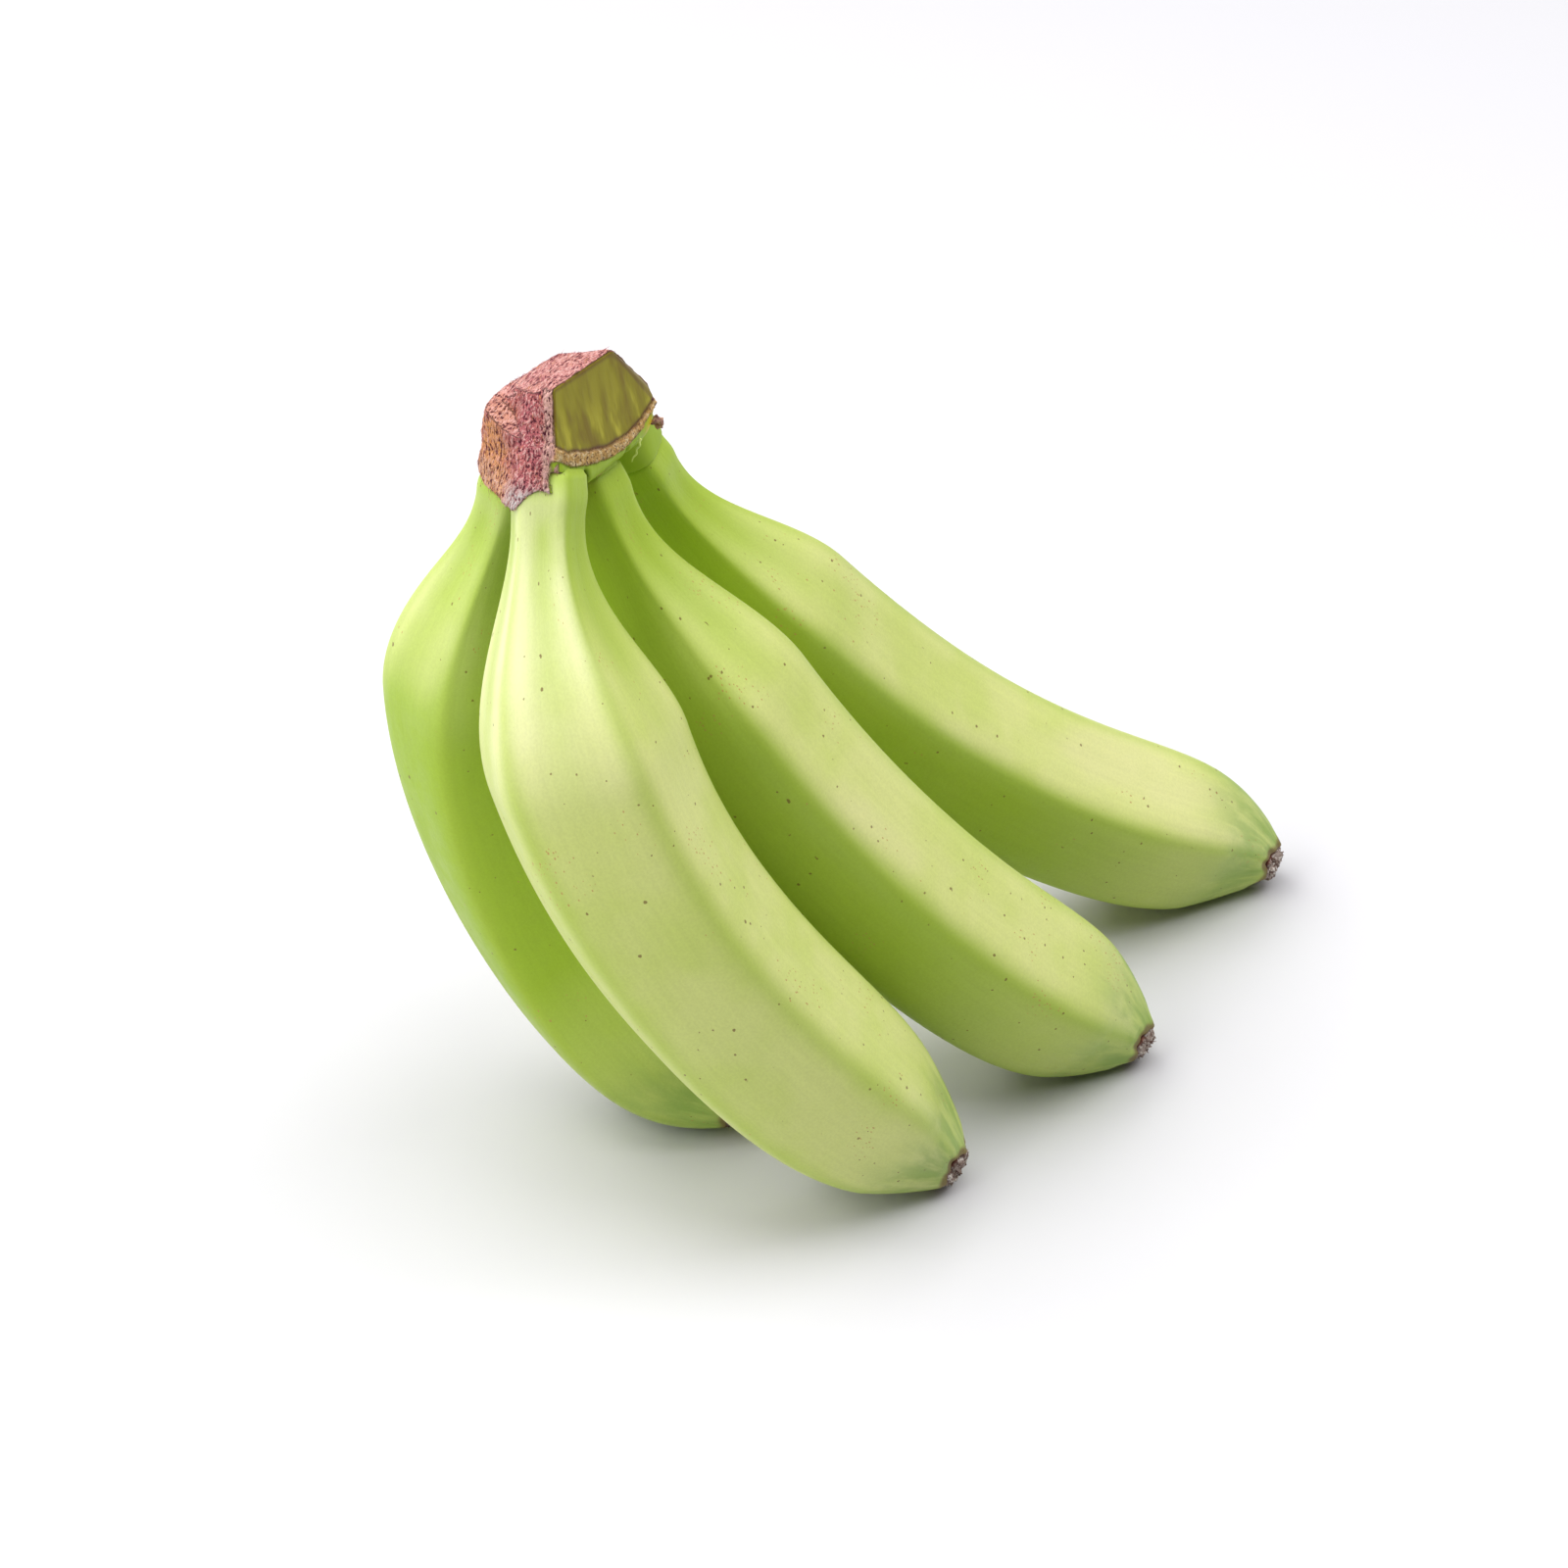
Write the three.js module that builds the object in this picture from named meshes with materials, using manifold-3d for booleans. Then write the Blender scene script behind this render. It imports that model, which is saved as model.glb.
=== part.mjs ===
// A hand of four green bananas on a cut crown, lying on the bellies of its fruits.
// Millimetres, +Z up. Every fruit is a soft pentagon swept along a bent centreline.
import * as THREE from 'three';
import { ConvexGeometry } from 'three/addons/geometries/ConvexGeometry.js';
import { mergeVertices } from 'three/addons/utils/BufferGeometryUtils.js';
import Module from 'manifold-3d';

// ---- sizes that all fruits share -------------------------------------------------------
const NECK_LENGTH = 10.5;       // before the stalk starts to swell
const SHOULDER_LENGTH = 47;     // from the stalk to the full body
const TIP_RATIO = 0.28;         // radius left at the blossom end, as a share of the body
const TIP_POWER = 4;            // how late the body tapers towards the tip
const CROOK_LENGTH = 24;        // last part of a fruit, which turns towards TIP_HEADING
const CROOK_ONSET = 6;          // length over which that turn sets in
const CROOK_BEND = 162;         // degrees per 100 mm, on top of the bend of the body
const TIP_HEADING = [0.83, -0.43, -0.35];
const INSIDE = [1, 0, 0.3];     // rough direction of the inside of every bend
const NECK_BEND_REACH = 0.6;    // share of the shoulder over which the stalk's bend fades out
const BEND_SETTLES = 20;        // length past the stalk before the bend of the body changes
const RIDGES = 5;
const SHARPNESS = { stalk: 8, body: 6.5, tip: 5, tipShare: 0.1 };  // of the ridges
const JOINT_GAP = 0.35;         // between faces that touch on the real thing

// ---- the four fruits -------------------------------------------------------------------
// root: start of the stalk at the crown. azimuth, dip: its heading there, in degrees.
// plane: turn of the bending plane about that heading. Bends are in degrees per 100 mm of
// length: at the stalk, at the start and end of the body, and sideways out of the plane.
// neck: radius of the stalk. taper: where the body starts to narrow. ridge, twist: angle of
// the front ridge from the inside of the bend, and its change over the length.
const FRUITS = [
  {
    name: 'left', root: [-50, -4, 155.9], azimuth: 132, dip: 75.8, plane: 17,
    length: 171, neck: 6, radius: 16.5, taper: 113, neckBend: -28, bend: [57, 37], sideBend: 7,
    ridge: 100, twist: 24,
  },
  {
    name: 'front', root: [-43.5, -12.5, 160.6], azimuth: -101, dip: 60.1, plane: -37,
    length: 185, neck: 6.7, radius: 19.3, taper: 114, neckBend: 52, bend: [53, 9], sideBend: -8,
    ridge: 83, twist: -14,
  },
  {
    name: 'middle', root: [-37.5, 4.5, 149.3], azimuth: -37, dip: 68.4, plane: -27,
    length: 186, neck: 6.7, radius: 17.5, taper: 129, neckBend: 54, bend: [15, 25], sideBend: -7,
    ridge: 90, twist: -4,
  },
  {
    name: 'right', root: [-29.5, 21.5, 142.9], azimuth: 26, dip: 66.6, plane: -29,
    length: 202, neck: 6.7, radius: 17, taper: 144, neckBend: 44, bend: [10, 30], sideBend: 3,
    ridge: 79, twist: -8,
  },
];

// ---- fineness of the faceted solids ----------------------------------------------------
const AROUND = 28;
const ALONG = 38;
const TIP_BIAS = 0.35;          // stations lie closer together towards the tip
const STEP = 1;                 // of the walk along a centreline
const ROOM_RINGS = 12;          // along the room for a stalk in the crown
const BALL = [24, 16];          // segments round and down an ellipsoid
const WELD = 1e-4;              // points closer than this are one

const rad = THREE.MathUtils.degToRad;
const { clamp, lerp } = THREE.MathUtils;
const smooth = (x) => THREE.MathUtils.smoothstep(x, 0, 1);
const v3 = (x, y, z) => new THREE.Vector3(x, y, z);

const MATERIALS = {
  peel: new THREE.MeshStandardMaterial({ color: 0xb4c96a, roughness: 0.55, metalness: 0 }),
  crown: new THREE.MeshStandardMaterial({ color: 0x7d6a34, roughness: 0.7, metalness: 0 }),
  dry: new THREE.MeshStandardMaterial({ color: 0x5a463c, roughness: 0.9, metalness: 0 }),
};

// ---- centreline and section of a fruit -------------------------------------------------

// Frame at the root: heading t, n towards the inside of the bend, b beside them.
function rootFrame(fruit) {
  const dip = rad(fruit.dip);
  const azimuth = rad(fruit.azimuth);
  const t = v3(
    Math.cos(dip) * Math.cos(azimuth), Math.cos(dip) * Math.sin(azimuth), -Math.sin(dip),
  );
  const inside = v3(...INSIDE);
  const n = inside.addScaledVector(t, -inside.dot(t)).normalize();
  n.applyAxisAngle(t, rad(fruit.plane));
  return { point: new THREE.Vector3(...fruit.root), t, n, b: t.clone().cross(n) };
}

// Bend at a distance s from the root, in radians per millimetre.
function bendAt(fruit, s) {
  const body = smooth((s - NECK_LENGTH) / (NECK_BEND_REACH * SHOULDER_LENGTH));
  const bodyStart = NECK_LENGTH + BEND_SETTLES;
  const along = clamp((s - bodyStart) / (fruit.length - bodyStart), 0, 1);
  const bodyBend = lerp(fruit.bend[0], fruit.bend[1], along);
  return rad(lerp(fruit.neckBend, bodyBend, body)) / 100;
}

// Turns the frame towards the heading of the tip, by no more than the given angle.
function turnToTip(frame, angle) {
  const heading = v3(...TIP_HEADING).normalize();
  const axis = frame.t.clone().cross(heading).normalize();
  const turn = Math.min(angle, frame.t.angleTo(heading));
  [frame.t, frame.n, frame.b].forEach((way) => way.applyAxisAngle(axis, turn));
}

// One step of the walk: turn half, go on, turn half.
function advance(frame, fruit, s, ds) {
  const crook = clamp((s + ds / 2 - fruit.length + CROOK_LENGTH) / CROOK_ONSET, 0, 1);
  turnToTip(frame, rad(CROOK_BEND) / 100 * crook * ds);
  const up = bendAt(fruit, s + ds / 2) * ds / 2;
  const side = rad(fruit.sideBend) / 100 * ds / 2;
  const turn = () => {
    frame.t.applyAxisAngle(frame.b, up);
    frame.n.applyAxisAngle(frame.b, up);
    frame.t.applyAxisAngle(frame.n, -side);
    frame.b.applyAxisAngle(frame.n, -side);
  };
  turn();
  frame.point.addScaledVector(frame.t, ds);
  turn();
}

// Frames along the fruit at the given distances, which rise from a first one at or above 0.
function framesAt(fruit, distances) {
  const frame = rootFrame(fruit);
  let s = 0;
  return distances.map((target) => {
    while (target - s > WELD) {
      const ds = Math.min(STEP, target - s);
      advance(frame, fruit, s, ds);
      s += ds;
    }
    return {
      s: target, point: frame.point.clone(), t: frame.t.clone(), n: frame.n.clone(), b: frame.b.clone(),
    };
  });
}

// Frame straight above the root, where the stalk comes out of the crown.
function frameAbove(fruit, distance) {
  const frame = rootFrame(fruit);
  frame.point.addScaledVector(frame.t, -distance);
  return { ...frame, s: 0 };
}

function bodyRadius(fruit, s) {
  const swell = smooth((s - NECK_LENGTH) / SHOULDER_LENGTH);
  const taper = clamp((s - fruit.taper) / (fruit.length - fruit.taper), 0, 1);
  return lerp(fruit.neck, fruit.radius, swell) * (1 - (1 - TIP_RATIO) * taper ** TIP_POWER);
}

// Pentagon with rounded corners: a corner lies at angle 0. Higher sharpness, sharper corners.
function pentagon(angle, sharpness) {
  let sum = 0;
  for (let face = 0; face < RIDGES; face += 1) {
    const facing = Math.cos(angle - (face + 0.5) * 2 * Math.PI / RIDGES);
    sum += Math.max(facing, 0) ** sharpness;
  }
  return sum ** (-1 / sharpness);
}

function meanPentagon(sharpness) {
  const samples = 60;
  let sum = 0;
  for (let i = 0; i < samples; i += 1) sum += pentagon(i * 2 * Math.PI / samples, sharpness);
  return sum / samples;
}

// Corners are sharp on the stalk, softer on the body and softest at the tip.
function sharpnessAt(fruit, s) {
  const body = smooth((s - NECK_LENGTH) / SHOULDER_LENGTH);
  const tip = clamp((s / fruit.length - 1) / SHARPNESS.tipShare + 1, 0, 1);
  return lerp(lerp(SHARPNESS.stalk, SHARPNESS.body, body), SHARPNESS.tip, tip);
}

// Ring of points round one frame; extra grows it evenly.
function ring(fruit, frame, extra = 0) {
  const sharpness = sharpnessAt(fruit, frame.s);
  const radius = bodyRadius(fruit, frame.s) / meanPentagon(sharpness);
  const ridge = rad(fruit.ridge + fruit.twist * (frame.s / fruit.length - 0.5));
  const points = [];
  for (let i = 0; i < AROUND; i += 1) {
    const angle = i * 2 * Math.PI / AROUND;
    const reach = radius * pentagon(angle - ridge, sharpness) + extra;
    points.push(frame.point.clone()
      .addScaledVector(frame.n, reach * Math.cos(angle))
      .addScaledVector(frame.b, reach * Math.sin(angle)));
  }
  return points;
}

// ---- closed solids from rings ----------------------------------------------------------

// Skin over rings of equal count, closed by a fan on each end.
function loft(rings) {
  const count = rings[0].length;
  const points = rings.flat();
  const triangles = [];
  for (let j = 0; j + 1 < rings.length; j += 1) {
    for (let i = 0; i < count; i += 1) {
      const next = (i + 1) % count;
      const [a, b, c, d] = [j * count + i, j * count + next, (j + 1) * count + i, (j + 1) * count + next];
      triangles.push(a, b, c, b, d, c);
    }
  }
  const fan = (ringIndex, flip) => {
    const centre = new THREE.Vector3();
    rings[ringIndex].forEach((p) => centre.addScaledVector(p, 1 / count));
    points.push(centre);
    const hub = points.length - 1;
    for (let i = 0; i < count; i += 1) {
      const a = ringIndex * count + i;
      const b = ringIndex * count + (i + 1) % count;
      triangles.push(...(flip ? [hub, b, a] : [hub, a, b]));
    }
  };
  fan(0, true);
  fan(rings.length - 1, false);
  const geometry = new THREE.BufferGeometry();
  geometry.setAttribute('position', new THREE.Float32BufferAttribute(points.flatMap((p) => p.toArray()), 3));
  geometry.setIndex(triangles);
  return geometry;
}

// ---- booleans --------------------------------------------------------------------------
const manifold = await Module();
manifold.setup();

function toManifold(geometry) {
  const bare = new THREE.BufferGeometry();
  bare.setAttribute('position', geometry.getAttribute('position').clone());
  if (geometry.index) bare.setIndex(geometry.index.clone());
  const welded = mergeVertices(bare, WELD);
  return new manifold.Manifold(new manifold.Mesh({
    numProp: 3,
    vertProperties: Float32Array.from(welded.getAttribute('position').array),
    triVerts: Uint32Array.from(welded.index.array),
  }));
}

function toGeometry(solid) {
  const mesh = solid.getMesh();
  const geometry = new THREE.BufferGeometry();
  geometry.setAttribute('position', new THREE.BufferAttribute(Float32Array.from(mesh.vertProperties), 3));
  geometry.setIndex(new THREE.BufferAttribute(Uint32Array.from(mesh.triVerts), 1));
  return geometry;
}

// Large box that fills the side of a plane that its normal points to.
function beyond(point, normal, size = 400) {
  const out = normal.clone().normalize();
  const box = new THREE.BoxGeometry(size, size, size);
  box.translate(0, 0, size / 2);
  box.applyQuaternion(new THREE.Quaternion().setFromUnitVectors(new THREE.Vector3(0, 0, 1), out));
  box.translate(point.x, point.y, point.z);
  return toManifold(box);
}

const DOWN = v3(0, 0, -1);
const table = beyond(v3(0, 0, 0), DOWN);

// ---- fruit -----------------------------------------------------------------------------

// Distances of the rings from the root, from first to last.
function stations(first, last, count) {
  return Array.from({ length: count + 1 }, (_, i) => {
    const t = i / count;
    return lerp(first, last, t * (1 + TIP_BIAS * (1 - t)));
  });
}

function fruitBody(fruit) {
  const frames = framesAt(fruit, stations(0, fruit.length, ALONG));
  const body = toManifold(loft(frames.map((frame) => ring(fruit, frame))));
  return body.subtract(table);
}

// The room that a fruit needs in the crown: its stalk, grown by the joint gap all round.
function fruitRoom(fruit) {
  const reach = NECK_LENGTH + SHOULDER_LENGTH;
  const frames = framesAt(fruit, stations(0, reach, ROOM_RINGS));
  frames[0].point.addScaledVector(frames[0].t, -JOINT_GAP);
  return toManifold(loft(frames.map((frame) => ring(fruit, frame, JOINT_GAP))));
}

// ---- dry flower remains ----------------------------------------------------------------
const BLOSSOM = {
  length: 2, around: 20, rings: 4, lobes: 5, lobeDepth: 0.09, rags: 3, ragDepth: 0.3,
  endRatio: 0.8,
  clearance: 0.4,                // kept above the table
  seedStep: 1.7,                 // turns the lobes from fruit to fruit
};

// Plug on the end of the fruit: narrower and more ragged away from it.
function blossomEnd(fruit, seed) {
  const [end] = framesAt(fruit, [fruit.length]);
  const base = bodyRadius(fruit, fruit.length);
  const rings = [];
  for (let j = 0; j <= BLOSSOM.rings; j += 1) {
    const out = j / BLOSSOM.rings;
    const points = [];
    for (let i = 0; i < BLOSSOM.around; i += 1) {
      const angle = i * 2 * Math.PI / BLOSSOM.around;
      const lobes = 1 + BLOSSOM.lobeDepth * out * Math.sin(BLOSSOM.lobes * angle + seed);
      const rag = 1 - BLOSSOM.ragDepth * out * (0.5 + 0.5 * Math.sin(BLOSSOM.rags * angle + 2 * seed));
      const reach = base * lerp(1, BLOSSOM.endRatio, out * out) * lobes;
      points.push(end.point.clone()
        .addScaledVector(end.t, JOINT_GAP + BLOSSOM.length * out * rag)
        .addScaledVector(end.n, reach * Math.cos(angle))
        .addScaledVector(end.b, reach * Math.sin(angle)));
    }
    rings.push(points);
  }
  return toManifold(loft(rings)).subtract(beyond(v3(0, 0, BLOSSOM.clearance), DOWN));
}

// ---- crown -----------------------------------------------------------------------------
const CROWN = {
  // The uncut crown is the hull of two ellipsoids, one over the foremost stalks and one at
  // the far end of the row, and of the corners where its cut faces meet.
  lobes: [
    { centre: [-45.2, -4.6, 163], halfSizes: [11.4, 13, 11.2] },
    { centre: [-32, 13, 158], halfSizes: [7, 8, 7] },
  ],
  corner: v3(-41.7, -17.4, 168.7), // foot of the edge between the inner cut and the bark
  topCorner: v3(-42.3, -13.1, 179.2),
  apex: v3(-32, 6.8, 175.2),
  farCorner: v3(-24.4, 14.7, 158.9),
  backCorner: v3(-50, 8.2, 167.8),
  backRidge: v3(-42, 7, 174.4),
  innerCut: v3(0.885, -0.417, 0.208),
  barkCut: v3(-0.711, -0.661, 0.243),
};
const STUB = { length: 15, startGrow: 0.3, endRadius: 7.6 };
const RIM = { thickness: 2.2, proud: 0.8 };   // corky edge below the inner cut

// Flap of bark that hangs over the stalks of the two foremost fruits. Its ragged lower edge
// is given as distance along the row of stalks and height.
const FLAP = {
  fruits: ['left', 'front'],
  reach: [-5, 10],                 // along each stalk, from above the root to below it
  thickness: 0.9,
  facing: 222,                     // azimuth the flap looks towards
  depth: 40,                       // where it starts, along that direction
  cutDepth: 60,                    // of the cutter that gives its outline
  edge: [
    [-62, 158], [-38, 157.3], [-31, 155], [-25, 156.2], [-19, 156.5], [-17.4, 158.3],
    [-16.2, 160.9], [-15.3, 161.3], [-12.9, 160.4], [-14.7, 163.1], [-15.5, 165.8], [-15.2, 190],
    [-62, 190],
  ],
};

// Short stalk foot that runs from the fruit's root up into the crown.
function stub(fruit) {
  const rings = [1, 0.5, 0].map((out) => {
    const frame = frameAbove(fruit, out * STUB.length);
    return ring(fruit, frame, lerp(STUB.startGrow, STUB.endRadius - fruit.neck, out));
  });
  return toManifold(loft(rings));
}

// The crown before it is cut, grown evenly.
function uncutCrown(grow) {
  const points = CROWN.lobes.flatMap((lobe) => {
    const ball = new THREE.SphereGeometry(1, ...BALL);
    ball.scale(...lobe.halfSizes.map((half) => half + grow));
    ball.translate(...lobe.centre);
    const position = ball.getAttribute('position');
    return Array.from({ length: position.count }, (_, i) => v3(0, 0, 0).fromBufferAttribute(position, i));
  });
  const corners = [
    CROWN.corner, CROWN.topCorner, CROWN.apex, CROWN.farCorner, CROWN.backCorner, CROWN.backRidge,
  ];
  return toManifold(new ConvexGeometry([...points, ...corners]));
}

function rim() {
  const back = CROWN.corner.clone().addScaledVector(CROWN.innerCut, -RIM.thickness);
  return uncutCrown(RIM.proud).intersect(beyond(back, CROWN.innerCut));
}

// Hull over the two stalks, cut to the outline of the flap.
function flap() {
  const points = FRUITS.filter((fruit) => FLAP.fruits.includes(fruit.name)).flatMap((fruit) => {
    const above = frameAbove(fruit, -FLAP.reach[0]);
    const below = framesAt(fruit, [0, FLAP.reach[1] / 2, FLAP.reach[1]]);
    return [above, ...below].flatMap((frame) => ring(fruit, frame, FLAP.thickness));
  });
  const outline = new THREE.ExtrudeGeometry(
    new THREE.Shape(FLAP.edge.map(([x, y]) => new THREE.Vector2(x, y))),
    { depth: FLAP.cutDepth, bevelEnabled: false },
  );
  const facing = rad(FLAP.facing);
  const out = v3(Math.cos(facing), Math.sin(facing), 0);
  const up = v3(0, 0, 1);
  outline.translate(0, 0, FLAP.depth);
  outline.applyMatrix4(new THREE.Matrix4().makeBasis(up.clone().cross(out), up, out));
  return toManifold(new ConvexGeometry(points)).intersect(toManifold(outline));
}

function crown() {
  let solid = uncutCrown(0).subtract(beyond(CROWN.corner, CROWN.barkCut)).add(rim());
  FRUITS.forEach((fruit) => { solid = solid.add(stub(fruit)); });
  solid = solid.subtract(beyond(CROWN.corner, CROWN.innerCut)).add(flap());
  FRUITS.forEach((fruit) => { solid = solid.subtract(fruitRoom(fruit)); });
  return solid;
}

// ---- the bunch -------------------------------------------------------------------------
const bunch = new THREE.Group();

function addPiece(name, solid, material) {
  const mesh = new THREE.Mesh(toGeometry(solid), material);
  mesh.name = name;
  bunch.add(mesh);
}

addPiece('crown', crown(), MATERIALS.crown);
FRUITS.forEach((fruit, i) => {
  addPiece(`banana_${fruit.name}`, fruitBody(fruit), MATERIALS.peel);
  addPiece(`blossom_end_${fruit.name}`, blossomEnd(fruit, 1 + BLOSSOM.seedStep * i), MATERIALS.dry);
});

// The origin lies under the middle of the bunch, on the table.
const middle = new THREE.Box3().setFromObject(bunch).getCenter(v3(0, 0, 0));
bunch.children.forEach((mesh) => mesh.geometry.translate(-middle.x, -middle.y, 0));

export default bunch;
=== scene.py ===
"""A hand of four unripe bananas on a cut crown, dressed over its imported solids.

Shapes are sized in millimetres in the frame that the bunch was laid out in. A mesh is in metres and
moved by ORIGIN, which brings it into the frame of the solids. Finishes are sized in metres.
"""

import logging
import math
from dataclasses import dataclass, field
from enum import Enum

import bmesh
import bpy
import numpy as np
from mathutils import Matrix, Vector, noise


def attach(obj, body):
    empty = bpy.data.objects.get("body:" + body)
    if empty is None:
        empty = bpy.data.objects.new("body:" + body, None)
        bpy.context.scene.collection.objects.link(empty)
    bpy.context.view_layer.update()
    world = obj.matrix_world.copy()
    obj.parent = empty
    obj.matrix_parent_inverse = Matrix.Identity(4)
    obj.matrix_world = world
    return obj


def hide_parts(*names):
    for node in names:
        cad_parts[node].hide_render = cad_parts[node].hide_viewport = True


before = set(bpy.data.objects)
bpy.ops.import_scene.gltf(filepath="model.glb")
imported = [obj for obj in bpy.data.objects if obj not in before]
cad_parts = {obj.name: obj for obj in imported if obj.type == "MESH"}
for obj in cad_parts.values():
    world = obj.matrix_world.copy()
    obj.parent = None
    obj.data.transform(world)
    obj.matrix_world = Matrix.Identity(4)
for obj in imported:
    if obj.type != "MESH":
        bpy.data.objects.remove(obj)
log = logging.getLogger("bananas")

MM = 0.001
ORIGIN = np.array([14.347, 16.589, 0.0])  # foot of the bunch's middle, in the frame of the layout
RIDGES = 5
FULL_TURN = 2 * math.pi
WALK_STEP = 1.0  # longest step along a middle line
NEAR = 1e-4  # distances closer than this are one
GROUND_GAP = 0.02  # kept between the peel and the ground

Array = np.ndarray
Triple = tuple[float, float, float]
Colour = Triple
Socket = bpy.types.NodeSocket
Mesh = bpy.types.Mesh
Piece = bpy.types.Object
Material = bpy.types.Material


class Slot(Enum):
    """Material slots of the record."""

    CROWN = "crown"
    PEEL = "peel"
    DRY = "dry"


class Zone(Enum):
    """Kinds of surface on the crown, each an attribute of its mesh."""

    CUT = "cut"
    RIM = "rim"
    COLLAR = "collar"


# ---- small helpers -----------------------------------------------------------------------


def smooth(x: Array, low: float = 0.0, high: float = 1.0) -> Array:
    """Smooth step from 0 at low to 1 at high."""
    t = np.clip((np.asarray(x, float) - low) / (high - low), 0, 1)
    return t * t * (3 - 2 * t)


def mix(a: Array, b: Array, t: Array) -> Array:
    """Straight blend from a at t 0 to b at t 1."""
    return a + (b - a) * t


def unit(v: Array) -> Array:
    """The vector at length 1, along the last axis."""
    return v / np.linalg.norm(v, axis=-1, keepdims=True)


def bell(x: Array, width: float) -> Array:
    """Bell curve: 1 at 0 and about a third at the width."""
    return np.exp(-(x / width) ** 2)


def directions(count: int) -> Array:
    """Evenly spaced angles round a full turn, in radians."""
    return np.linspace(0, FULL_TURN, count, endpoint=False)


def nearest_turn(angle: Array) -> Array:
    """The same angle between minus pi and pi."""
    return np.angle(np.exp(1j * angle))


def turned(v: Array, axis: Array, angle: float) -> Array:
    """v turned about a unit axis.

    Args:
        v: Vector to turn.
        axis: Unit axis.
        angle: Angle in radians, by the right-hand rule.

    Returns:
        The turned vector.
    """
    c, s = math.cos(angle), math.sin(angle)
    return v * c + np.cross(axis, v) * s + axis * float(np.dot(axis, v)) * (1 - c)


def lumps(points: Array, size: float, seed: float = 0.0, octaves: int = 1) -> Array:
    """Soft noise between about -1 and 1 at each point.

    Args:
        points: Points in millimetres, one a row.
        size: Width of a lump in millimetres.
        seed: Shifts the pattern.
        octaves: Layers of ever finer lumps.

    Returns:
        One value for each point.
    """
    scaled = points / size + seed
    if octaves == 1:
        return np.array([noise.noise(p) for p in scaled.tolist()])
    return np.array([noise.fractal(p, 0.8, 2.1, octaves) for p in scaled.tolist()])


def new_mesh(name: str, points: Array, faces: list[tuple[int, ...]]) -> Piece:
    """A smooth-shaded mesh object at the origin, linked to the scene.

    Args:
        name: Name of the object.
        points: Points in millimetres in the frame of the layout.
        faces: Corner numbers of each face.

    Returns:
        The object.
    """
    mesh = bpy.data.meshes.new(name)
    mesh.from_pydata(((points - ORIGIN) * MM).tolist(), [], faces)
    mesh.update()
    mesh.polygons.foreach_set("use_smooth", [True] * len(mesh.polygons))
    piece = bpy.data.objects.new(name, mesh)
    bpy.context.scene.collection.objects.link(piece)
    return piece


def add_values(piece: Piece, **layers: Array) -> None:
    """Stores numbers or vectors on the points of a piece.

    Args:
        piece: Piece that gets the values.
        layers: One number or vector for each point, under the name that materials read.
    """
    for name, values in layers.items():
        values = np.asarray(values, float)
        kind, key = ("FLOAT_VECTOR", "vector") if values.ndim == 2 else ("FLOAT", "value")
        layer = piece.data.attributes.new(name, kind, "POINT")
        layer.data.foreach_set(key, values.ravel())


def read(mesh: Mesh, what: str) -> Array:
    """Reads the points or the normals of a mesh.

    Args:
        mesh: Mesh to read.
        what: "co" for the points in metres, "normal" for the normals.

    Returns:
        One row for each point.
    """
    values = np.empty(len(mesh.vertices) * 3)
    mesh.vertices.foreach_get(what, values)
    return values.reshape(-1, 3)


def move_points(mesh: Mesh, points: Array) -> None:
    """Moves the points of a mesh to places in the frame of the layout."""
    mesh.vertices.foreach_set("co", ((points - ORIGIN) * MM).ravel())
    mesh.update()


def grid_faces(rows: int, columns: int) -> list[tuple[int, ...]]:
    """Quads between closed rings of points, row after row.

    Args:
        rows: Number of rings.
        columns: Points in a ring.

    Returns:
        Corner numbers of each quad, which face outwards for a right-hand ring.
    """
    faces = []
    for j in range(rows - 1):
        for i in range(columns):
            k = (i + 1) % columns
            faces.append((j * columns + i, j * columns + k, (j + 1) * columns + k, (j + 1) * columns + i))
    return faces


def closed_tube(name: str, points: Array, rows: int, columns: int) -> Piece:
    """A tube over rings of points, closed by one face at each end.

    Args:
        name: Name of the object.
        points: Points in millimetres, ring after ring.
        rows: Number of rings.
        columns: Points in a ring.

    Returns:
        The tube, with its faces turned outwards.
    """
    last = (rows - 1) * columns
    ends = [tuple(range(columns))[::-1], tuple(range(last, last + columns))]
    piece = new_mesh(name, points, grid_faces(rows, columns) + ends)
    turned_out(piece.data)
    return piece


def turned_out(mesh: Mesh) -> None:
    """Turns all faces of a closed mesh outwards.

    Args:
        mesh: Mesh, changed in place.
    """
    bm = bmesh.new()
    bm.from_mesh(mesh)
    bmesh.ops.recalc_face_normals(bm, faces=bm.faces)
    bm.to_mesh(mesh)
    bm.free()


def settle(piece: Piece, nodes: tuple[str, ...]) -> None:
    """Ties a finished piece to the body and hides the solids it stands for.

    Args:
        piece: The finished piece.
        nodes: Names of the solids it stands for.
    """
    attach(piece, "root")
    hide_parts(*nodes)
    piece.data.calc_loop_triangles()
    log.info("%s: %d triangles", piece.name, len(piece.data.loop_triangles))


# ---- node trees --------------------------------------------------------------------------


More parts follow.
